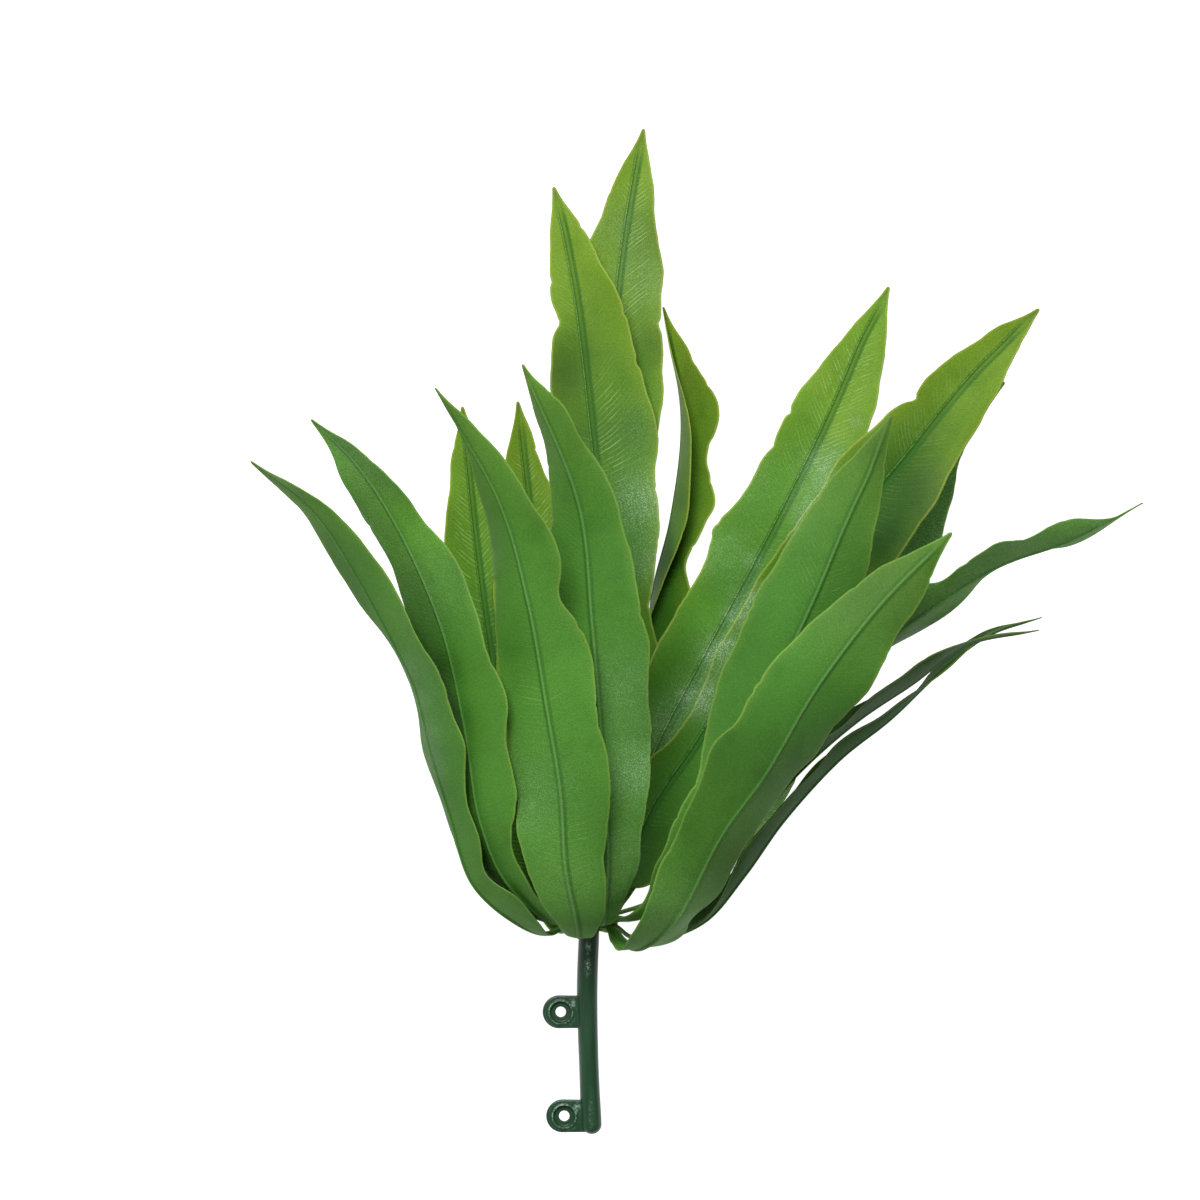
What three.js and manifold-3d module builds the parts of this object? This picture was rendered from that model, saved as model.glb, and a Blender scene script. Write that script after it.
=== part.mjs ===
// Artificial birds nest fern pick, lying on its back fronds, in millimetres.
// +X is the right of the plant, +Y runs from the stem to the frond tips, +Z is up, away from the table.
// Every shape is set out from the hub, the point where the stem meets the first ring of fronds.
// At the end the whole group is moved, so that its origin is the middle of its footprint on the table.

import * as THREE from "three";
import { mergeVertices } from "three/addons/utils/BufferGeometryUtils.js";
import Module from "manifold-3d";

const wasm = await Module();
wasm.setup();

// Stem
const STEM_RADIUS = 4.1;
const STEM_LENGTH = 81.4;
const STEM_SHOULDER = -0.2;
const STEM_SIDES = 18;
const STEM_STEPS = 10;
// How far the stem's axis stands to the right of the hub, at each distance below the hub
const STEM_BEND = [
  [-0.3, 0],
  [-1.2, 24],
  [-0.8, 44],
  [0, 66],
  [0.7, STEM_LENGTH - STEM_RADIUS],
];

// Peg and the spread head that traps the rings
const PEG_RADIUS = 2;
const PEG_HEAD_RADIUS = 3.6;
const PEG_HEAD_HEIGHT = 2.2;
// The head narrows to these shares of its radius, at its upper edge and at its flat top
const PEG_HEAD_EDGE = 0.8;
const PEG_HEAD_TOP = 0.4;
const PEG_HEAD_CHAMFER = 0.5;

// Fixing eyelets, moulded on the left of the stem
const EYELETS = [
  [-11.6, -32.8],
  [-10.4, -74.6],
];
const EYELET_RADIUS = 6.7;
const EYELET_HOLE_RADIUS = 2.5;
const EYELET_THICKNESS = 3.2;
const EYELET_RECESS_RADIUS = 4.3;
const EYELET_RECESS_DEPTH = 0.5;
const EYELET_RIM_RADIUS = 5.2;
const EYELET_RIM_HEIGHT = 0.5;
const EYELET_SIDES = 24;

// Rings on the peg, one for each whorl of fronds
const RING_NAMES = ["lower", "middle", "upper"];
const RING_RADIUS = 6.3;
const RING_HEIGHT = 2.4;
const RING_PITCH = 2.8;
const RING_SIDES = 24;
const CLEARANCE = 0.3;

// Frond blades
const FROND_HALF_WIDTH = 19.4;
const BLADE_THICKNESS = 0.8;
const ROOT_THICKNESS = 1.8;
const ROOT_REACH = 0.16;
const RIB_HEIGHT = 1.1;
const RIB_GROOVE = 0.35;
const STATIONS = 24;
// Places across the blade, from its left edge to its right edge. The middle three carry the rib.
const ACROSS = [-1, -0.52, -0.08, 0, 0.08, 0.52, 1];
// Half width as a share of the widest: at every 20 mm out from the root, and back from the tip
const OUTLINE_STEP = 20;
const OUTLINE_FROM_ROOT = [0.11, 0.24, 0.5, 0.74, 0.91, 0.99, 1];
const OUTLINE_FROM_TIP = [0.03, 0.37, 0.63, 0.83, 0.96, 1];
const TIP_HALF_WIDTH = 0.5;
const CUP_CURVE = 1.35;
// Each frond leaves its ring straight for this far
const ROOT_STRAIGHT = 4;
// The blade folds open between these shares of its length
const OPENS_FROM = 0.02;
const OPENS_TO = 0.2;
// How much later the waves of the right edge come, and the share of the length in which they die out at the tip
const WAVE_LAG = 0.35;
const WAVE_TIP_REACH = 0.15;
// Distances for measuring the blade's slope, as shares of its half width and of its length
const SLOPE_STEP_ACROSS = 0.05;
const SLOPE_STEP_ALONG = 0.004;

const LEAF_PLASTIC = { color: 0x4c8f38, roughness: 0.48, metalness: 0 };
const STEM_PLASTIC = { color: 0x28482f, roughness: 0.42, metalness: 0 };

// The fronds, each with its whorl (0 is the lowest) and the direction in which its root leaves the ring.
// Directions are in degrees round the stem: 0 is up, away from the table, and 90 is to the right.
// spine: the middle of the blade after the root, from the hub out to the tip.
// facing: the direction in which the outer face looks, at even steps from root to tip.
// cup: how far each half of the blade is folded towards the inner face, in degrees.
// wave: height of the edge waves, how many there are, and where they start.
// swells: where an edge stands out or is drawn in: side of the blade (-1 left, 1 right), share of the length,
// how far it stands out, and over what share of the length.
const FRONDS = {
  frond_left_outer: {
    whorl: 0,
    root: -72,
    spine: [[-18, -0.6, 9], [-30, 5.6, 19], [-45, 21, 29], [-52.8, 48, 37], [-60, 73, 42], [-66, 97, 45],
      [-74, 114, 46], [-91, 143, 45], [-109, 168, 43], [-132, 186, 40]],
    facing: [-72, -64, -66, -66, -60, -55],
    cup: [8, 10, 10, 8, -10],
    wave: [1.5, 3, 0],
    swells: [[-1, 0.6, 4, 0.08], [-1, 0.41, -3.5, 0.05], [1, 0.93, 3, 0.05], [1, 0.37, -5, 0.07], [1, 0.24, -4, 0.04],
      [1, 0.11, 4, 0.05]],
  },
  frond_left_inner: {
    whorl: 1,
    root: -48,
    spine: [[-13, 4, 14], [-20, 9, 29], [-33, 24, 41], [-42, 47, 48], [-48, 84, 52], [-57, 122, 53],
      [-75, 162, 50], [-92, 187, 48], [-108, 202, 46]],
    facing: [-48, -50, -54, -50, -46, -46],
    cup: [8, 12, 12, 6, -10],
    wave: [1.5, 3, 0.3],
    swells: [[-1, 0.83, 5, 0.06], [-1, 0.12, 4, 0.06], [1, 0.85, 2, 0.04], [1, 0.76, -2.5, 0.04], [1, 0.5, 5.5, 0.05],
      [1, 0.27, -4.5, 0.05]],
  },
  frond_front_left: {
    whorl: 0,
    root: -10,
    spine: [[-4, -0.6, 23], [-5, 8, 46], [-9, 29, 60], [-11, 59, 66], [-16, 90, 68], [-23, 130, 67],
      [-34, 169, 66], [-59, 213, 68]],
    facing: [-10, -10, -12, -26, -46, -60],
    cup: [8, 12, 12],
    wave: [1.5, 3, 0.6],
    swells: [[-1, 0.92, -5.5, 0.07], [1, 0.65, -6.5, 0.04], [1, 0.29, -1.6, 0.05], [-1, 0.32, 1.3, 0.04]],
  },
  frond_front_middle: {
    whorl: 1,
    root: 14,
    spine: [[5, 4.6, 22], [6, 13.4, 38], [7, 31, 48], [6, 55, 52], [4, 85, 53], [1, 124, 53],
      [-4, 169, 52], [-26, 223, 52]],
    facing: [14, 10, 0, -16, -36, -50],
    cup: [8, 12, 12],
    wave: [1.5, 3, 0.1],
    swells: [[1, 0.92, 3, 0.04], [1, 0.74, -2.4, 0.08], [1, 0.53, 1.5, 0.05], [1, 0.25, -1.2, 0.06]],
  },
  frond_front_right: {
    whorl: 2,
    root: 32,
    spine: [[12, 6, 16], [22, 9, 29], [35, 22, 37], [48, 42, 40], [61, 73, 41], [73, 106, 41],
      [88, 138, 40], [102, 170, 38], [118, 204, 36]],
    facing: [32, 20, 12, 10, 10, 10],
    cup: [8, 12, 12],
    wave: [1.5, 3, 0.4],
    swells: [[-1, 0.38, -4, 0.08], [-1, 0.15, -4, 0.06], [1, 0.76, 2, 0.06]],
  },
  frond_right_front: {
    whorl: 0,
    root: 50,
    spine: [[12, -3, 18], [21, -3, 40], [33, 9, 54], [51, 43, 60], [67, 65, 60], [87, 98, 58],
      [112, 130, 54], [140, 158, 50]],
    facing: [50, 45, 40, 34, 4, 0],
    cup: [8, 12, 12],
    wave: [1.5, 3, 0.7],
    swells: [[-1, 0.62, 1.5, 0.04], [-1, 0.5, 5, 0.06], [-1, 0.37, -1.2, 0.04], [-1, 0.23, 2.5, 0.05],
      [1, 0.9, 1, 0.04], [1, 0.72, 1.8, 0.05], [1, 0.59, 4.5, 0.04], [1, 0.28, 4, 0.05], [1, 0.16, 10, 0.06]],
  },
  frond_right_wavy: {
    whorl: 2,
    root: 84,
    spine: [[14, 8, 4], [28, 14, 7], [52, 42, 11], [83, 81, 13], [110, 110, 14], [134, 128, 15],
      [162, 145.5, 15], [190, 155.5, 13], [219.5, 170.5, 12]],
    facing: [84, 68, 56, 50, 50, 50],
    cup: [8, 14, 14],
    wave: [3, 4, 0.2],
    swells: [[-1, 0.95, -4, 0.04], [-1, 0.86, 0.5, 0.04], [-1, 0.78, 4, 0.025], [-1, 0.69, -9, 0.035],
      [1, 0.78, -3, 0.03], [1, 0.6, 12, 0.06]],
  },
  frond_right_thin_upper: {
    whorl: 1,
    root: 72,
    spine: [[15, 5, 3], [28, 8, 2], [54, 28, 0], [80, 60, 1], [106, 83.5, 3], [128.5, 99, 7],
      [149, 114, 12], [178, 120, 14]],
    facing: [72, 78, 82, 85, 85, 85],
    cup: [8, 14, 14],
    wave: [1.5, 3, 0.5],
    swells: [],
  },
  frond_right_thin_lower: {
    whorl: 0,
    root: 105,
    spine: [[16, -2.8, -4], [27, -4, -7], [46, 3, -11], [62, 21, -15], [78, 43, -17], [101, 68, -17],
      [121, 84, -15], [143, 105, -12], [161, 118, -11.5], [182, 125, -10]],
    facing: [105, 92, 84, 80, 87, 88],
    cup: [8, 14, 14, 12, 7, 7],
    wave: [1.5, 3, 0.8],
    swells: [],
  },
  frond_back_low_left: {
    whorl: 0,
    root: 225,
    spine: [[-12, -2, -18], [-17, 7, -36], [-27, 37, -50], [-36, 78, -54], [-42, 115, -57], [-47, 153, -57.5],
      [-50, 182, -55], [-53, 212, -51]],
    facing: [225, 212, 200, 198, 200, 205],
    cup: [8, 12, 12],
    wave: [1.2, 3, 0.1],
    swells: [],
  },
  frond_back_low_middle: {
    whorl: 1,
    root: 238,
    spine: [[-10, 3, -18], [-14, 12, -38], [-14, 49, -54], [-18, 91, -55], [-22, 132, -55], [-25, 169, -53],
      [-30, 214, -48]],
    facing: [238, 210, 186, 184, 190, 200],
    cup: [8, 12, 12],
    wave: [1.2, 3, 0.5],
    swells: [[-1, 0.89, -2.5, 0.05]],
  },
  frond_back_tall_left: {
    whorl: 2,
    root: 216,
    spine: [[-6, 7, -20], [4, 16, -32], [10, 46, -39], [12, 91, -39], [11, 144, -37], [6, 193, -36],
      [-2, 251, -35], [-15, 301, -34]],
    facing: [216, 190, 180, 180, 180, 180],
    cup: [8, 10, 10],
    wave: [1.2, 3, 0.2],
    swells: [[1, 0.84, -2.6, 0.02], [-1, 0.68, 2.8, 0.05], [-1, 0.46, -6, 0.07]],
  },
  frond_back_tall_middle: {
    whorl: 1,
    root: 182,
    spine: [[0, 2, -23], [5, 13, -38], [6, 49, -43], [6, 99, -43], [4, 157, -43], [8, 215, -43],
      [13, 271, -45], [22, 326, -44]],
    facing: [182, 180, 180, 180, 180, 180],
    cup: [8, 10, 10],
    wave: [1.2, 3, 0.6],
    swells: [[-1, 0.83, 1.3, 0.04], [-1, 0.67, 2.4, 0.08]],
  },
  frond_back_twisted: {
    whorl: 0,
    root: 160,
    spine: [[7, -2, -22], [9, 6, -46], [14, 28, -58.5], [20, 66, -59], [24, 100, -59], [26, 133, -58.5],
      [34, 167, -56], [38, 208, -52], [30, 253, -48]],
    facing: [160, 170, 180, 212, 212, 205],
    cup: [8, 10, 14, 68, 70, 55],
    wave: [1, 3, 0],
    swells: [[1, 0.5, -7, 0.07], [-1, 0.86, 6, 0.035], [-1, 0.79, -3, 0.02], [-1, 0.735, 3, 0.02],
      [-1, 0.65, -8, 0.035], [-1, 0.14, -6, 0.06]],
  },
  frond_back_right: {
    whorl: 2,
    root: 174,
    spine: [[3, 8, -18], [9, 15, -27], [18, 41, -31], [31, 77, -31], [47, 109, -31], [73, 154, -31],
      [99, 206, -32], [122, 260, -32]],
    facing: [174, 178, 180, 180, 180, 180],
    cup: [8, 10, 10],
    wave: [1.2, 3, 0.3],
    swells: [[1, 0.83, 2.5, 0.045], [1, 0.59, 4, 0.04]],
  },
  frond_back_far_right: {
    whorl: 2,
    root: 130,
    spine: [[10, 8, -12], [11, 15, -20], [18, 29, -22], [27, 49, -22], [43, 72, -21], [69, 112, -20],
      [98, 152, -20], [127, 186, -20], [158, 226, -20], [182, 250, -20]],
    facing: [130, 160, 175, 180, 180, 180],
    cup: [8, 10, 10],
    wave: [1.2, 3, 0.7],
    swells: [[1, 0.81, -1.5, 0.02], [1, 0.7, 2.8, 0.06], [1, 0.3, -8, 0.09], [-1, 0.63, 3.5, 0.05],
      [-1, 0.78, -1.5, 0.06]],
  },
  frond_back_hidden_right: {
    whorl: 1,
    root: 128,
    spine: [[17, 3, -17], [33, 12, -34], [58, 46, -50], [83, 90, -56], [112, 132, -60], [135, 173, -57],
      [146, 200, -53], [171, 222, -48]],
    facing: [128, 150, 170, 180, 180, 180],
    cup: [8, 10, 10],
    wave: [1.2, 3, 0.4],
    swells: [[-1, 0.8, -2.5, 0.06]],
  },
};

const radians = THREE.MathUtils.degToRad;

// A smooth value at a share of the way along a list of evenly spaced values
function along(values, share) {
  const place = THREE.MathUtils.clamp(share, 0, 1) * (values.length - 1);
  const i = Math.min(Math.floor(place), values.length - 2);
  const t = place - i;
  const before = values[Math.max(i - 1, 0)];
  const [from, to] = [values[i], values[i + 1]];
  const after = values[Math.min(i + 2, values.length - 1)];
  const bend = 2 * before - 5 * from + 4 * to - after;
  const twist = -before + 3 * from - 3 * to + after;
  return 0.5 * (2 * from + (to - before) * t + bend * t * t + twist * t * t * t);
}

function ringMiddle(whorl) {
  return STEM_SHOULDER + CLEARANCE + RING_HEIGHT / 2 + whorl * RING_PITCH;
}

function rootPoint(frond, distance) {
  const angle = radians(frond.root);
  return new THREE.Vector3(distance * Math.sin(angle), ringMiddle(frond.whorl), distance * Math.cos(angle));
}

function spineCurve(frond) {
  const start = RING_RADIUS + CLEARANCE;
  const roots = [rootPoint(frond, start), rootPoint(frond, start + ROOT_STRAIGHT)];
  const points = frond.spine.map((point) => new THREE.Vector3(...point));
  return new THREE.CatmullRomCurve3([...roots, ...points]);
}

// The blade's axes at a share of its length: the way it runs, its right side and its outer face
function bladeAxes(frond, curve, share) {
  const run = curve.getTangentAt(share);
  const angle = radians(along(frond.facing, share));
  const side = new THREE.Vector3(Math.cos(angle), 0, -Math.sin(angle));
  side.addScaledVector(run, -side.dot(run)).normalize();
  return { run, side, outward: new THREE.Vector3().crossVectors(side, run) };
}

// A value from a list that has one for every 20 mm
function atDistance(values, distance) {
  return along(values, distance / OUTLINE_STEP / (values.length - 1));
}

function edgeWidth(frond, curve, share, sign) {
  const fromRoot = atDistance(OUTLINE_FROM_ROOT, curve.getLength() * share);
  const fromTip = atDistance(OUTLINE_FROM_TIP, curve.getLength() * (1 - share));
  let width = FROND_HALF_WIDTH * fromRoot * fromTip;
  for (const [side, place, amount, reach] of frond.swells) {
    if (side === sign) {
      width += amount * Math.exp(-(((share - place) / reach) ** 2));
    }
  }
  return Math.max(width, TIP_HALF_WIDTH);
}

// A point in the middle of the blade's thickness
function bladePoint(frond, curve, share, across) {
  const { side, outward } = bladeAxes(frond, curve, share);
  const sign = across < 0 ? -1 : 1;
  const width = edgeWidth(frond, curve, share, sign);
  const opened = THREE.MathUtils.smoothstep(share, OPENS_FROM, OPENS_TO);
  const fold = radians(along(frond.cup, share)) * opened;
  const [height, count, start] = frond.wave;
  const turn = 2 * Math.PI * (count * share + start + (sign > 0 ? WAVE_LAG : 0));
  const calm = Math.min(1, (1 - share) / WAVE_TIP_REACH);
  const rise = height * opened * calm * across ** 2 * Math.sin(turn);
  const point = curve.getPointAt(share);
  point.addScaledVector(side, width * across * Math.cos(fold));
  return point.addScaledVector(outward, rise - width * Math.abs(across) ** CUP_CURVE * Math.sin(fold));
}

function bladeNormal(frond, curve, share, across) {
  const wider = bladePoint(frond, curve, share, Math.min(across + SLOPE_STEP_ACROSS, 1));
  const narrower = bladePoint(frond, curve, share, Math.max(across - SLOPE_STEP_ACROSS, -1));
  const further = bladePoint(frond, curve, Math.min(share + SLOPE_STEP_ALONG, 1), across);
  const nearer = bladePoint(frond, curve, Math.max(share - SLOPE_STEP_ALONG, 0), across);
  return wider.sub(narrower).cross(further.sub(nearer)).normalize();
}

// One frond: two faces split into triangles alike, joined by a rim all the way round
function frondGeometry(frond) {
  const curve = spineCurve(frond);
  const columns = ACROSS.length;
  const outer = [];
  const inner = [];
  for (let i = 0; i <= STATIONS; i += 1) {
    const share = i / STATIONS;
    const rootness = 1 - THREE.MathUtils.smoothstep(share, 0, ROOT_REACH);
    const thickness = BLADE_THICKNESS + (ROOT_THICKNESS - BLADE_THICKNESS) * rootness;
    const rib = (1 - rootness) * (1 - share) ** 0.5;
    for (const across of ACROSS) {
      const middle = bladePoint(frond, curve, share, across);
      const normal = bladeNormal(frond, curve, share, across);
      const ribbed = across === 0 ? rib : 0;
      outer.push(middle.clone().addScaledVector(normal, thickness / 2 + RIB_HEIGHT * ribbed));
      inner.push(middle.clone().addScaledVector(normal, -thickness / 2 + RIB_GROOVE * ribbed));
    }
  }
  const positions = [...outer, ...inner].flatMap((point) => point.toArray());
  const indices = [];
  const quad = (a, b, c, d) => indices.push(a, b, c, a, c, d);
  const under = outer.length;
  const last = STATIONS * columns;
  for (let i = 0; i < STATIONS; i += 1) {
    for (let j = 0; j < columns - 1; j += 1) {
      const a = i * columns + j;
      const b = a + columns;
      indices.push(a, a + 1, b + 1, a, b + 1, b);
      indices.push(under + a, under + b + 1, under + a + 1, under + a, under + b, under + b + 1);
    }
    const left = i * columns;
    const right = left + columns - 1;
    quad(left, left + columns, under + left + columns, under + left);
    quad(right, under + right, under + right + columns, right + columns);
  }
  for (let j = 0; j < columns - 1; j += 1) {
    quad(j, under + j, under + j + 1, j + 1);
    quad(last + j, last + j + 1, under + last + j + 1, under + last + j);
  }
  const geometry = new THREE.BufferGeometry();
  geometry.setAttribute("position", new THREE.Float32BufferAttribute(positions, 3));
  geometry.setIndex(indices);
  return geometry;
}

function solidOf(geometry) {
  const bare = geometry.clone();
  bare.deleteAttribute("normal");
  bare.deleteAttribute("uv");
  const merged = mergeVertices(bare, 1e-4);
  const vertProperties = new Float32Array(merged.attributes.position.array);
  const triVerts = new Uint32Array(merged.index.array);
  return new wasm.Manifold(new wasm.Mesh({ numProp: 3, vertProperties, triVerts }));
}

function geometryOf(solid) {
  const mesh = solid.getMesh();
  const geometry = new THREE.BufferGeometry();
  geometry.setAttribute("position", new THREE.Float32BufferAttribute(mesh.vertProperties, 3));
  geometry.setIndex([...mesh.triVerts]);
  return geometry;
}

// A cylinder that stands across the eyelet, along Z
function eyeletCylinder(radius, from, to, [x, y]) {
  const cylinder = new THREE.CylinderGeometry(radius, radius, to - from, EYELET_SIDES);
  cylinder.rotateX(Math.PI / 2);
  return solidOf(cylinder.translate(x, y, (from + to) / 2));
}

// The flat tab of an eyelet, round at its free end, which runs into the stem
function eyeletTab([x, y]) {
  const outline = new THREE.Shape();
  outline.moveTo(0, y - EYELET_RADIUS);
  outline.lineTo(0, y + EYELET_RADIUS);
  outline.lineTo(x, y + EYELET_RADIUS);
  outline.absarc(x, y, EYELET_RADIUS, Math.PI / 2, Math.PI * 1.5, false);
  const tab = new THREE.ExtrudeGeometry(outline, {
    depth: EYELET_THICKNESS,
    bevelEnabled: false,
    curveSegments: EYELET_SIDES / 2,
  });
  return solidOf(tab.translate(0, 0, -EYELET_THICKNESS / 2));
}

// Adds one eyelet to the stem: tab, recess and raised rim on both faces, and the hole
function withEyelet(stem, place) {
  const face = EYELET_THICKNESS / 2;
  const rimTop = face + EYELET_RIM_HEIGHT;
  const floor = face - EYELET_RECESS_DEPTH;
  const rim = eyeletCylinder(EYELET_RIM_RADIUS, -rimTop, rimTop, place);
  let made = stem.add(eyeletTab(place)).add(rim);
  made = made.subtract(eyeletCylinder(EYELET_RECESS_RADIUS, floor, rimTop + 1, place));
  made = made.subtract(eyeletCylinder(EYELET_RECESS_RADIUS, -rimTop - 1, -floor, place));
  return made.subtract(eyeletCylinder(EYELET_HOLE_RADIUS, -rimTop - 1, rimTop + 1, place));
}

function stemShaft() {
  const points = STEM_BEND.map(([x, below]) => new THREE.Vector3(x, STEM_SHOULDER - below, 0));
  const section = new THREE.Shape().absarc(0, 0, STEM_RADIUS, 0, 2 * Math.PI, false);
  const shaft = new THREE.ExtrudeGeometry(section, {
    steps: STEM_STEPS,
    curveSegments: STEM_SIDES,
    bevelEnabled: false,
    extrudePath: new THREE.CatmullRomCurve3(points),
  });
  return solidOf(shaft);
}

function stemGeometry() {
  const [endX, endBelow] = STEM_BEND.at(-1);
  const end = new THREE.SphereGeometry(STEM_RADIUS, STEM_SIDES, STEM_SIDES / 2);
  end.translate(endX, STEM_SHOULDER - endBelow, 0);
  const ringsTop = ringMiddle(RING_NAMES.length - 1) + RING_HEIGHT / 2;
  const headBottom = ringsTop + CLEARANCE;
  const headTop = headBottom + PEG_HEAD_HEIGHT;
  const pegBottom = STEM_SHOULDER - STEM_RADIUS;
  const peg = new THREE.LatheGeometry(
    [
      new THREE.Vector2(0, pegBottom),
      new THREE.Vector2(PEG_RADIUS, pegBottom),
      new THREE.Vector2(PEG_RADIUS, headBottom),
      new THREE.Vector2(PEG_HEAD_RADIUS, headBottom),
      new THREE.Vector2(PEG_HEAD_RADIUS * PEG_HEAD_EDGE, headTop - PEG_HEAD_CHAMFER),
      new THREE.Vector2(PEG_HEAD_RADIUS * PEG_HEAD_TOP, headTop),
      new THREE.Vector2(0, headTop),
    ],
    STEM_SIDES,
  );
  let stem = stemShaft().add(solidOf(end)).add(solidOf(peg));
  for (const place of EYELETS) {
    stem = withEyelet(stem, place);
  }
  return geometryOf(stem);
}

function ringGeometry(whorl) {
  const middle = ringMiddle(whorl);
  const [bottom, top] = [middle - RING_HEIGHT / 2, middle + RING_HEIGHT / 2];
  const bore = PEG_RADIUS + CLEARANCE;
  const profile = [
    new THREE.Vector2(bore, bottom),
    new THREE.Vector2(RING_RADIUS, bottom),
    new THREE.Vector2(RING_RADIUS, top),
    new THREE.Vector2(bore, top),
    new THREE.Vector2(bore, bottom),
  ];
  return new THREE.LatheGeometry(profile, RING_SIDES);
}

function addPiece(group, name, geometry, plastic) {
  const piece = new THREE.Mesh(geometry, new THREE.MeshStandardMaterial(plastic));
  piece.name = name;
  group.add(piece);
}

const group = new THREE.Group();
addPiece(group, "stem", stemGeometry(), STEM_PLASTIC);
RING_NAMES.forEach((name, whorl) => {
  addPiece(group, `whorl_ring_${name}`, ringGeometry(whorl), LEAF_PLASTIC);
});
for (const [name, frond] of Object.entries(FRONDS)) {
  addPiece(group, name, frondGeometry(frond), LEAF_PLASTIC);
}

// The origin goes to the middle of the footprint, on the table
const box = new THREE.Box3().setFromObject(group);
const middle = box.getCenter(new THREE.Vector3());
group.position.set(-middle.x, -middle.y, -box.min.z);
group.updateMatrixWorld(true);

export default group;
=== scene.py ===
"""Artificial birds nest fern pick, lying on a pale table and seen from straight above.

Lengths are written in millimetres and turned into metres where a mesh is made.
The fronds follow the spines and folds of the solids on a finer grid. Some of their edges are fitted closer.
"""

import math

import bmesh
import bpy
import numpy as np
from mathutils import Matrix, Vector


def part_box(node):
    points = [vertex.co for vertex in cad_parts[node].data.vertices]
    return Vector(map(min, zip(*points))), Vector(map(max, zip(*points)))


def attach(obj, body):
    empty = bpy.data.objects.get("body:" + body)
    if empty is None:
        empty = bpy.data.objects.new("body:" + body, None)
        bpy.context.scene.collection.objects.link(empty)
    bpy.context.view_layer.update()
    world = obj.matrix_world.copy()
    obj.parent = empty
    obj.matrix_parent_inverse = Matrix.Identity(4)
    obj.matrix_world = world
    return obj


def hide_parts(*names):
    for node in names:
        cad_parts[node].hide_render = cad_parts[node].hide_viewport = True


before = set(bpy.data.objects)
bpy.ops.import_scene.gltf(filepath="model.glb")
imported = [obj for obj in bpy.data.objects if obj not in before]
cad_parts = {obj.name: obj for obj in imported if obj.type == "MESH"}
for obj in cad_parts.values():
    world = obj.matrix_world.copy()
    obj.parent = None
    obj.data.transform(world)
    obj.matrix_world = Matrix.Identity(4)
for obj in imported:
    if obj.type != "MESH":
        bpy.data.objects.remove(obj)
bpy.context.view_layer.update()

MM = 0.001

# Clearances and sizes that the solids have too
STEM_SHOULDER = -0.2
STEM_LENGTH = 81.4
STEM_RADIUS = 4.1
CLEARANCE = 0.3
RING_RADIUS = 6.3
RING_HEIGHT = 2.4
RING_PITCH = 2.8
FROND_HALF_WIDTH = 19.4


def hub_place():
    """The hub lies on the axis of the lower ring, one clearance past the stem's shoulder."""
    low, high = (Vector(corner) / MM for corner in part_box("whorl_ring_lower"))
    middle = (low + high) / 2
    return Vector((middle.x, low.y - STEM_SHOULDER - CLEARANCE, middle.z))


HUB = hub_place()


def in_metres(points):
    """Points set out from the hub in millimetres, as places in the frame in metres."""
    return (np.asarray(points, float) + np.array(HUB)) * MM


def set_out(name, data):
    """A new object in the scene that holds a mesh, a light or a camera."""
    thing = bpy.data.objects.new(name, data)
    bpy.context.scene.collection.objects.link(thing)
    return thing


# Camera, straight above the pick, which fills the picture as in the photograph
CAMERA_HEIGHT = 1500.0
VIEW_CENTRE = (4.0, 132.0)
VIEW_WIDTH = 480.0
SENSOR_WIDTH = 36.0
NEAREST_SEEN = 0.01
FARTHEST_SEEN = 20.0


def make_camera():
    data = bpy.data.cameras.new("camera")
    data.sensor_width = SENSOR_WIDTH
    data.lens = SENSOR_WIDTH * CAMERA_HEIGHT / VIEW_WIDTH
    data.clip_start = NEAREST_SEEN
    data.clip_end = FARTHEST_SEEN
    camera = set_out("camera", data)
    camera.location = in_metres((*VIEW_CENTRE, CAMERA_HEIGHT))
    bpy.context.scene.camera = camera


make_camera()


# Short calls for building materials

def tone(red, green, blue):
    """A colour as it looks on screen, 0 to 255, turned into the renderer's linear values."""
    parts = []
    for part in (red, green, blue):
        share = part / 255
        parts.append(share / 12.92 if share <= 0.04045 else ((share + 0.055) / 1.055) ** 2.4)
    return (*parts, 1.0)


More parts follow.
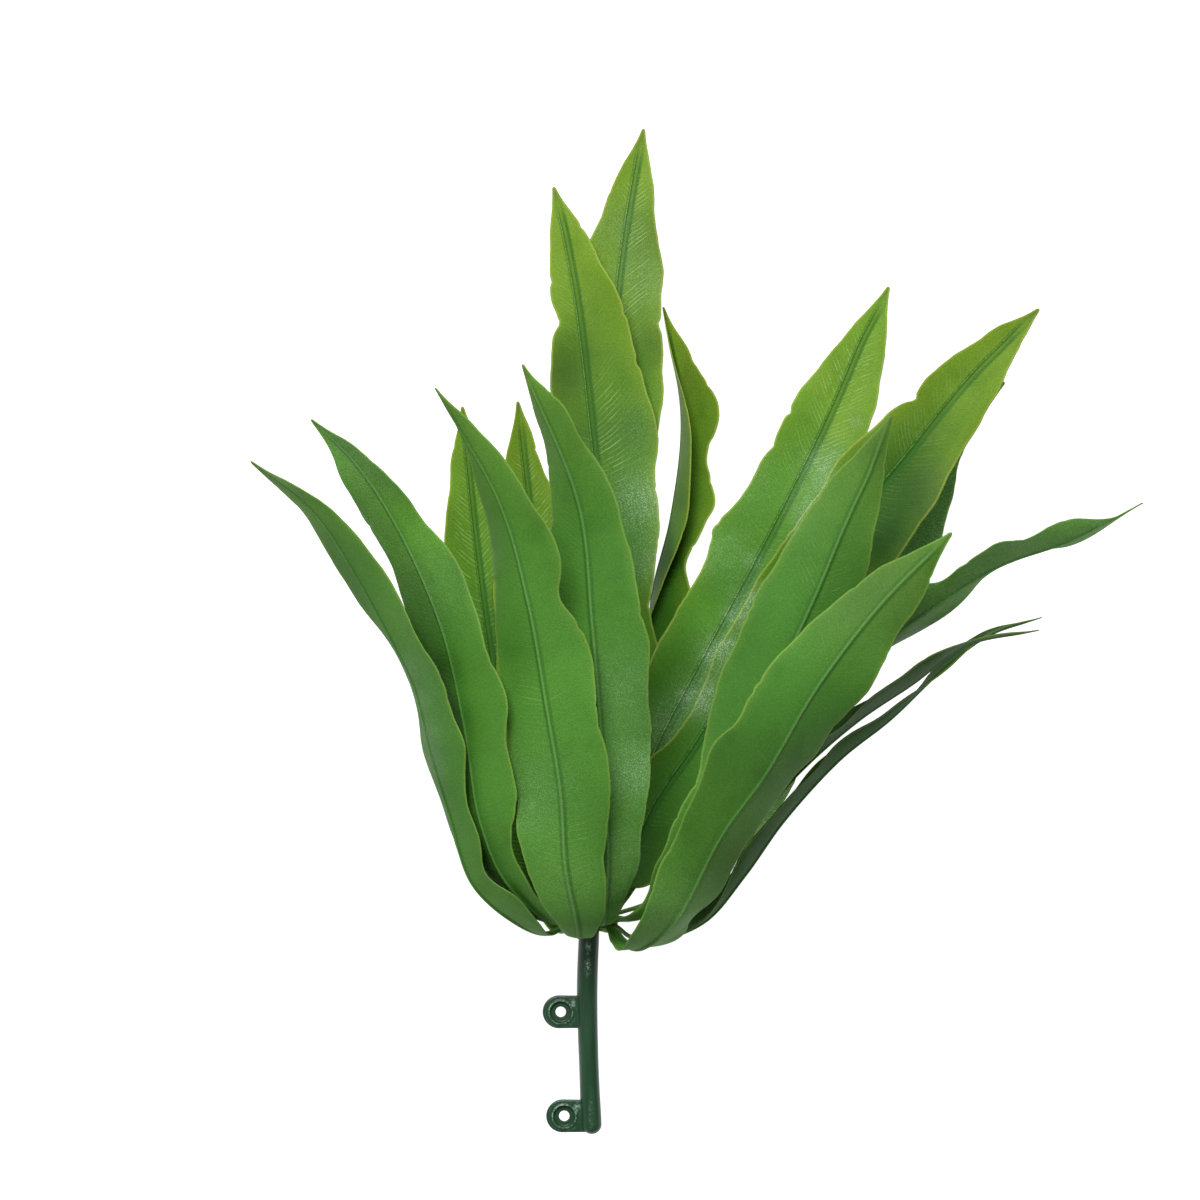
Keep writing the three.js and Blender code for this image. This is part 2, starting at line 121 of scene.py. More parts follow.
class Wiring:
    """Adds nodes to one node tree and joins them up."""

    def __init__(self, tree):
        self.tree = tree

    def node(self, kind, settings=None, **inputs):
        made = self.tree.nodes.new(kind)
        for name, value in (settings or {}).items():
            setattr(made, name, value)
        for name, value in inputs.items():
            self.feed(made.inputs[name.replace("_", " ")], value)
        return made

    def feed(self, socket, value):
        if isinstance(value, bpy.types.NodeSocket):
            self.tree.links.new(value, socket)
        else:
            socket.default_value = value

    def group(self, tree, **inputs):
        """A shader node group, placed with its own values. Returns its outputs."""
        return self.node("ShaderNodeGroup", {"node_tree": tree}, **inputs).outputs

    def maths(self, operation, *values, clamp=False):
        made = self.node("ShaderNodeMath", {"operation": operation, "use_clamp": clamp})
        for socket, value in zip(made.inputs, values):
            self.feed(socket, value)
        return made.outputs[0]

    def plus(self, first, second, clamp=False):
        return self.maths("ADD", first, second, clamp=clamp)

    def minus(self, first, second, clamp=False):
        return self.maths("SUBTRACT", first, second, clamp=clamp)

    def times(self, first, second, clamp=False):
        return self.maths("MULTIPLY", first, second, clamp=clamp)

    def scaled(self, value, factor, offset):
        return self.maths("MULTIPLY_ADD", value, factor, offset)

    def size(self, value):
        return self.maths("ABSOLUTE", value)

    def ramp(self, value, low, high, to_low=0.0, to_high=1.0):
        """Eases from to_low to to_high while the value goes from low to high."""
        made = self.node("ShaderNodeMapRange", {"interpolation_type": "SMOOTHSTEP"})
        for socket, part in zip(made.inputs, (value, low, high, to_low, to_high)):
            self.feed(socket, part)
        return made.outputs[0]

    def mix(self, share, first, second, blend="MIX"):
        made = self.node("ShaderNodeMix", {"data_type": "RGBA", "blend_type": blend})
        self.feed(made.inputs[0], share)
        self.feed(made.inputs[6], first)
        self.feed(made.inputs[7], second)
        return made.outputs[2]

    def brightness(self, amount, colour):
        return self.node("ShaderNodeHueSaturation", Value=amount, Color=colour).outputs[0]

    def point(self, x, y):
        return self.node("ShaderNodeCombineXYZ", X=x, Y=y).outputs[0]

    def noise(self, place, scale, detail=2.0, rough=0.5):
        made = self.node("ShaderNodeTexNoise", Vector=place, Scale=scale, Detail=detail, Roughness=rough)
        return made.outputs["Fac"]

    def bump(self, height):
        return self.node("ShaderNodeBump", Strength=1.0, Distance=MM, Height=height).outputs[0]


def new_group(name, inputs, outputs):
    """A shader node group with named sockets. Returns its wiring, its inputs and its output sockets."""
    tree = bpy.data.node_groups.new(name, "ShaderNodeTree")
    for title, kind, value in inputs:
        socket = tree.interface.new_socket(title, in_out="INPUT", socket_type=kind)
        if value is not None:
            socket.default_value = value
    for title, kind in outputs:
        tree.interface.new_socket(title, in_out="OUTPUT", socket_type=kind)
    wiring = Wiring(tree)
    entry = wiring.node("NodeGroupInput")
    leaving = wiring.node("NodeGroupOutput")
    return wiring, entry.outputs, leaving.inputs


NUMBER = "NodeSocketFloat"
COLOUR = "NodeSocketColor"
VECTOR = "NodeSocketVector"

# What each frond's mesh stores at its points, three values to a layer
BLADE_LAYERS = {
    "blade_place": ("Across", "Along", "From edge"),
    "blade_kind": ("Share", "Outer face", "Width"),
    "blade_spots": ("Gloss and sheen", "Painted shade", "Yellow"),
    "blade_marks": ("Veins", "Olive and shade", "Bright"),
}


def blade_place_group():
    """Where on the blade a point lies and how it is coloured there, read from the frond's mesh."""
    names = [name for titles in BLADE_LAYERS.values() for name in titles]
    wiring, _, leaving = new_group("blade place", [], [(name, NUMBER) for name in names])
    for layer, titles in BLADE_LAYERS.items():
        source = wiring.node("ShaderNodeAttribute", {"attribute_name": layer})
        parts = wiring.node("ShaderNodeSeparateXYZ", Vector=source.outputs["Vector"])
        for part, title in zip(parts.outputs, titles):
            wiring.feed(leaving[title], part)
    return wiring.tree


# Side veins: their waviness, and how far from the midrib and from the edge they show, in millimetres
VEIN_WANDER = 3.0
VEIN_START = (1.0, 2.4)
VEIN_FADE = (7.0, 14.0)
VEIN_EDGE = (1.0, 6.0)


def side_veins_group():
    """Fine veins that leave the midrib at a slant on both sides. Each has its own strength and length."""
    wiring, entry, leaving = new_group(
        "side veins",
        [("Across", NUMBER, 0.0), ("Along", NUMBER, 0.0), ("From edge", NUMBER, 5.0),
         ("Spacing", NUMBER, 2.0), ("Slant", NUMBER, 0.62), ("Line width", NUMBER, 0.15),
         ("Shown", NUMBER, 0.0)],
        [("Height", NUMBER), ("Line", NUMBER)],
    )
    out = wiring.size(entry["Across"])
    place = wiring.point(entry["Across"], entry["Along"])
    # A vein climbs towards the tip, less steeply further out
    bend = wiring.times(wiring.maths("POWER", out, 1.25), -0.012)
    level = wiring.minus(entry["Along"], wiring.scaled(out, entry["Slant"], bend))
    level = wiring.plus(level, wiring.times(wiring.noise(place, 0.07), VEIN_WANDER))
    count = wiring.maths("DIVIDE", level, entry["Spacing"])
    number = wiring.maths("FLOOR", count)
    off = wiring.size(wiring.minus(wiring.maths("FRACT", count), 0.5))
    line = wiring.ramp(off, wiring.times(entry["Line width"], 0.2), entry["Line width"], 1.0, 0.0)
    own = wiring.point(number, wiring.maths("SIGN", entry["Across"]))
    draw = wiring.node("ShaderNodeTexWhiteNoise", {"noise_dimensions": "2D"}, Vector=own).outputs["Value"]
    broken = wiring.noise(wiring.point(out, number), 0.35, 1.0)
    strength = wiring.times(wiring.ramp(draw, 0.15, 0.9, 0.2, 1.0), wiring.ramp(broken, 0.3, 0.5))
    far = wiring.times(wiring.ramp(entry["From edge"], *VEIN_EDGE), wiring.ramp(out, *VEIN_FADE, 1.0, 0.15))
    reach = wiring.times(wiring.ramp(out, *VEIN_START), far)
    patch = wiring.ramp(wiring.noise(place, 0.035, 1.0), 0.48, 0.66, 0.04, 0.25)
    mask = wiring.times(reach, wiring.plus(patch, entry["Shown"], clamp=True))
    wiring.feed(leaving["Line"], wiring.times(wiring.times(line, strength), mask))
    wiring.feed(leaving["Height"], wiring.times(line, reach))
    return wiring.tree


def plastic_grain_group():
    """The fine grain of a blasted mould: a height for bumps, duller patches, and sparkling grains where
    painted glints go.
    """
    wiring, entry, leaving = new_group(
        "plastic grain",
        [("Vector", VECTOR, None), ("Grain size", NUMBER, 0.5)],
        [("Height", NUMBER), ("Dull patches", NUMBER), ("Sparkle", NUMBER)],
    )
    place = entry["Vector"]
    scale = wiring.maths("DIVIDE", 1000.0, entry["Grain size"])
    cells = wiring.node("ShaderNodeTexVoronoi", Vector=place, Scale=wiring.times(scale, 0.55))
    glint = wiring.ramp(cells.outputs["Distance"], 0.12, 0.3, 1.0, 0.0)
    drawn = wiring.ramp(cells.outputs["Color"], 0.55, 0.75)
    wiring.feed(leaving["Height"], wiring.noise(place, scale, 1.5))
    wiring.feed(leaving["Dull patches"], wiring.ramp(wiring.noise(place, 30.0, 3.0), 0.35, 0.65))
    wiring.feed(leaving["Sparkle"], wiring.times(glint, drawn))
    return wiring.tree


# Painted light: a lighter green for parts of blades that lie in shade
PAINTED_LIGHT_GREEN = tone(92, 148, 48)
# Duller olive green: the blade's own tone at its very tip, and painted shade on faces turned from the light
OLIVE_AND_SHADE_GREEN = tone(66, 88, 40)
# Painted shade, and the darker green of faint random mottling
SHADE_AND_MOTTLE_GREEN = tone(30, 80, 8)
RIM_LINE = (0.2, 0.95)


def leaf_colour_group():
    """Base green, yellower towards the tip and the edges, with a pale edge line.

    It has painted light, painted shade and a duller olive where the frond's spots say so; the olive is partly
    the blade's own tone and partly painted shade.
    """
    wiring, entry, leaving = new_group(
        "leaf colour",
        [("From edge", NUMBER, 5.0), ("Share", NUMBER, 0.5), ("Vector", VECTOR, None),
         ("Yellow", NUMBER, 0.0), ("Painted shade", NUMBER, 0.0), ("Olive and shade", NUMBER, 0.0), ("Bright", NUMBER, 0.0),
         ("Body", COLOUR, None), ("Base", COLOUR, None), ("Tip", COLOUR, None), ("Edge", COLOUR, None),
         ("Tip reach", NUMBER, 0.5), ("Edge reach", NUMBER, 6.0)],
        [("Color", COLOUR)],
    )
    cloud = wiring.noise(entry["Vector"], 20.0, 3.0)
    blotch = wiring.noise(entry["Vector"], 75.0, 3.0)
    share = wiring.plus(entry["Share"], wiring.scaled(cloud, 0.2, -0.1))
    colour = wiring.mix(wiring.ramp(share, 0.02, 0.3, 1.0, 0.0), entry["Body"], entry["Base"])
    tip = wiring.ramp(share, wiring.minus(1.0, entry["Tip reach"]), 1.05)
    margin = wiring.maths("DIVIDE", entry["From edge"], entry["Edge reach"])
    margin = wiring.plus(margin, wiring.scaled(cloud, 1.2, -0.6))
    margin_strength = wiring.ramp(share, 0.2, 0.75, 0.12, 0.6)
    margin = wiring.times(wiring.ramp(margin, 0.0, 1.0, 1.0, 0.0), margin_strength)
    yellow = wiring.plus(tip, wiring.times(margin, wiring.minus(1.0, tip)))
    yellow = wiring.plus(yellow, entry["Yellow"], clamp=True)
    colour = wiring.mix(yellow, colour, entry["Tip"])
    # Painted light where the frond's spots say
    colour = wiring.mix(entry["Bright"], colour, PAINTED_LIGHT_GREEN)
    # Duller olive at the very tip, and painted shade where the frond's spots say
    dulled = wiring.maths("MAXIMUM", entry["Olive and shade"], wiring.ramp(entry["Share"], 0.97, 1.0, 0.0, 0.6))
    colour = wiring.mix(dulled, colour, OLIVE_AND_SHADE_GREEN)
    # Painted shade where the frond's spots say, plus faint random mottling
    painted_shade = wiring.plus(entry["Painted shade"], wiring.ramp(blotch, 0.5, 0.75, 0.0, 0.18), clamp=True)
    colour = wiring.mix(painted_shade, colour, SHADE_AND_MOTTLE_GREEN)
    colour = wiring.mix(wiring.ramp(entry["From edge"], *RIM_LINE, 0.5, 0.0), colour, entry["Edge"])
    colour = wiring.brightness(wiring.ramp(cloud, 0.3, 0.7, 0.92, 1.1), colour)
    wiring.feed(leaving["Color"], colour)
    return wiring.tree


BLADE_PLACE = blade_place_group()
SIDE_VEINS = side_veins_group()
PLASTIC_GRAIN = plastic_grain_group()
LEAF_COLOUR = leaf_colour_group()


def new_material(name):
    material = bpy.data.materials.new(name)
    material.use_nodes = True
    material.node_tree.nodes.clear()
    return material, Wiring(material.node_tree)


# Along the midrib: a darker green, partly its own tone and partly painted shade in its grooves, and a painted
# highlight on its crest
RIB_TONE_AND_SHADE = tone(32, 92, 26)
RIB_CREST_HIGHLIGHT = tone(112, 154, 86)
# Pale vein lines, partly their own tone and partly painted glints on their ridges; also the painted highlight
# on the midrib's lip
PALE_VEIN_AND_HIGHLIGHT = tone(176, 208, 130)
# Painted sheen: the pale colour mixed in where a blade is glossy, for light reflected from the room
PAINTED_SHEEN_PALE = tone(178, 204, 172)
LIGHT_THROUGH = tone(225, 255, 120)
LIGHT_THROUGH_SHARE = 0.3
LEAF_IOR = 1.45
LEAF_SPECULAR = 0.16

# Distances from the midrib, in millimetres, between which its darker band, the painted highlight on its crest
# and the painted highlight on its lip fade out
RIB_BAND = (1.1, 2.1)
RIB_CREST = (0.2, 0.75)
LIP_HIGHLIGHT_PLACE = 1.3
LIP_HIGHLIGHT_REACH = (0.08, 0.3)
# Half widths of the blade between which the midrib fades in
RIB_ROOM = (1.0, 6.0)


def with_midrib(wiring, shown, blade, inner, grain_height):
    """A darker band along the midrib, partly the rib's own tone and partly painted shade in its grooves, with
    a painted highlight on the crest of the outer face and on the lip beside the groove of the inner face.
    """
    out = wiring.times(wiring.size(blade["Across"]), wiring.scaled(inner, -0.12, 1.0))
    room = wiring.ramp(blade["Width"], *RIB_ROOM)
    band = wiring.ramp(out, *RIB_BAND, 1.0, 0.0)
    crest = wiring.ramp(out, *RIB_CREST, 1.0, 0.0)
    core = wiring.times(crest, wiring.scaled(inner, -0.45, 1.0))
    # Darker band: partly the rib's own tone, partly painted shade in the grooves beside it
    rib_tone_and_shade = wiring.times(wiring.minus(band, core, clamp=True), room)
    rib_tone_and_shade = wiring.times(rib_tone_and_shade, wiring.scaled(inner, 0.22, 0.5))
    shown = wiring.mix(rib_tone_and_shade, shown, RIB_TONE_AND_SHADE)
    # Painted highlight on the crest of the outer face
    crest_highlight = wiring.times(wiring.times(crest, blade["Outer face"]), room)
    shown = wiring.mix(wiring.times(crest_highlight, 0.35), shown, RIB_CREST_HIGHLIGHT)
    # Painted highlight on the lip beside the inner face's groove, speckled by the grain and stronger where
    # the blade is glossy
    from_lip = wiring.size(wiring.plus(blade["Across"], -LIP_HIGHLIGHT_PLACE))
    lip_highlight = wiring.times(wiring.times(wiring.ramp(from_lip, *LIP_HIGHLIGHT_REACH, 1.0, 0.0), inner), room)
    lip_highlight = wiring.times(lip_highlight, wiring.ramp(grain_height, 0.35, 0.6, 0.3, 1.5))
    strength = wiring.scaled(blade["Gloss and sheen"], 0.7, 0.22)
    return wiring.mix(wiring.times(lip_highlight, strength, clamp=True), shown, PALE_VEIN_AND_HIGHLIGHT)


def with_sheen(wiring, shown, gloss_and_sheen, grain, place):
    """The speckle of the grain, and a painted sheen where the blade is glossy: pale broken colour with
    painted glints, for light reflected there.
    """
    shown = wiring.brightness(wiring.ramp(grain["Height"], 0.3, 0.7, 0.86, 1.14), shown)
    # Painted glints on the grain and a broken painted sheen, stronger where the blade is glossier
    painted_glints = wiring.scaled(wiring.ramp(grain["Height"], 0.48, 0.66), 0.5, 0.16)
    painted_glints = wiring.scaled(grain["Sparkle"], 0.75, painted_glints)
    patchy = wiring.ramp(wiring.noise(place, 450.0, 2.0), 0.4, 0.62, 0.75, 1.15)
    painted_sheen = wiring.times(wiring.times(gloss_and_sheen, painted_glints), patchy, clamp=True)
    return wiring.mix(painted_sheen, shown, PAINTED_SHEEN_PALE)


def leaf_plastic(name, rough=0.5, **look):
    """Thin leaf plastic: semi-gloss, grained, veined, and letting some light through, with painted light,
    shade, highlights and sheen where the frond's mesh says.
    """
    material, wiring = new_material(name)
    place = wiring.node("ShaderNodeTexCoord").outputs["Object"]
    blade = wiring.group(BLADE_PLACE)
    grain = wiring.group(PLASTIC_GRAIN, Vector=place)
    slant = wiring.ramp(blade["Share"], 0.6, 0.8, 0.32, 1.0)
    veins = wiring.group(SIDE_VEINS, Across=blade["Across"], Along=blade["Along"],
                         From_edge=blade["From edge"], Shown=blade["Veins"], Slant=slant)
    stored = {title: blade[title] for title in ("From edge", "Share", "Yellow", "Painted shade", "Olive and shade", "Bright")}
    shown = wiring.group(LEAF_COLOUR, Vector=place, **stored, **look)["Color"]
    inner = wiring.minus(1.0, blade["Outer face"])
    shown = with_midrib(wiring, shown, blade, inner, grain["Height"])
    # Pale vein lines: partly the veins' own tone, partly painted glints on their ridges
    line = wiring.times(veins["Line"], wiring.scaled(inner, 0.45, 0.3))
    shown = wiring.mix(line, shown, PALE_VEIN_AND_HIGHLIGHT)
    shown = with_sheen(wiring, shown, blade["Gloss and sheen"], grain, place)
    bump = wiring.bump(wiring.scaled(veins["Height"], 0.035, wiring.times(grain["Height"], 0.2)))
    dullness = wiring.scaled(grain["Dull patches"], 0.14, rough)
    dullness = wiring.scaled(blade["Gloss and sheen"], -0.14, dullness)
    skin = wiring.node("ShaderNodeBsdfPrincipled", Base_Color=shown, Roughness=dullness, Normal=bump,
                       IOR=LEAF_IOR, Specular_IOR_Level=LEAF_SPECULAR)
    glow = wiring.mix(1.0, shown, LIGHT_THROUGH, "MULTIPLY")
    through = wiring.node("ShaderNodeBsdfTranslucent", Normal=bump, Color=glow)
    both = wiring.node("ShaderNodeMixShader", Fac=LIGHT_THROUGH_SHARE)
    wiring.feed(both.inputs[1], skin.outputs[0])
    wiring.feed(both.inputs[2], through.outputs[0])
    wiring.node("ShaderNodeOutputMaterial", Surface=both.outputs[0])
    return material


STEM_DARK = tone(14, 45, 26)
STEM_LIGHT = tone(34, 69, 43)
STEM_HIGHLIGHT_PALE = tone(150, 176, 158)
STEM_SPECULAR = 0.32
STEM_GRAIN_SIZE = 0.8
STEM_ROUGHNESS = 0.26


def stem_plastic():
    """Thick dark green plastic, glossier than the fronds, with faint flow marks along the stem and painted
    highlights where its mesh says.
    """
    material, wiring = new_material("stem_green")
    place = wiring.node("ShaderNodeTexCoord").outputs["Object"]
    grain = wiring.group(PLASTIC_GRAIN, Vector=place, Grain_size=STEM_GRAIN_SIZE)
    stretched = wiring.node("ShaderNodeMapping", Vector=place, Scale=(1.0, 0.12, 1.0)).outputs[0]
    flow = wiring.noise(stretched, 420.0, 3.0)
    colour = wiring.mix(flow, STEM_DARK, STEM_LIGHT)
    # Painted highlights: pale flecks where the stem's mesh stores them
    painted_highlight = wiring.node("ShaderNodeAttribute", {"attribute_name": "painted_highlight"}).outputs["Fac"]
    highlight_flecks = wiring.ramp(wiring.noise(place, 900.0, 1.0), 0.46, 0.6, 0.15, 1.0)
    colour = wiring.mix(wiring.times(painted_highlight, highlight_flecks), colour, STEM_HIGHLIGHT_PALE)
    bump = wiring.bump(wiring.scaled(grain["Height"], 0.03, wiring.times(flow, 0.05)))
    dullness = wiring.scaled(grain["Dull patches"], 0.14, STEM_ROUGHNESS)
    skin = wiring.node("ShaderNodeBsdfPrincipled", Base_Color=colour, Roughness=dullness, Normal=bump,
                       Specular_IOR_Level=STEM_SPECULAR)
    wiring.node("ShaderNodeOutputMaterial", Surface=skin.outputs[0])
    return material


FRONT_LEAF = leaf_plastic(
    "leaf_front", rough=0.54, Tip_reach=0.35, Edge_reach=4.0,
    Body=tone(71, 124, 44), Base=tone(84, 138, 56), Tip=tone(92, 132, 50), Edge=tone(124, 160, 70))
BACK_LEAF = leaf_plastic(
    "leaf_back", rough=0.44, Tip_reach=0.5, Edge_reach=8.0,
    Body=tone(66, 120, 34), Base=tone(52, 102, 26), Tip=tone(116, 148, 42), Edge=tone(160, 176, 74))
PLAIN_GREEN = tone(58, 104, 42)
RING_GREEN = leaf_plastic(
    "ring_plastic", Tip_reach=0.1, Edge_reach=1.0,
    Body=PLAIN_GREEN, Base=PLAIN_GREEN, Tip=PLAIN_GREEN, Edge=PLAIN_GREEN)
STEM_GREEN = stem_plastic()


# Frond shape, as in the solids

BLADE_THICKNESS = 0.8
ROOT_THICKNESS = 1.8
ROOT_REACH = 0.16
RIB_HEIGHT = 1.0
OUTLINE_STEP = 20.0
OUTLINE_FROM_ROOT = (0.11, 0.24, 0.5, 0.74, 0.91, 0.99, 1)
OUTLINE_FROM_TIP = (0.03, 0.37, 0.63, 0.83, 0.96, 1)
TIP_HALF_WIDTH = 0.5
CUP_CURVE = 1.35
ROOT_STRAIGHT = 4.0
OPENS_FROM = 0.02
OPENS_TO = 0.2
WAVE_LAG = 0.35
WAVE_TIP_REACH = 0.15

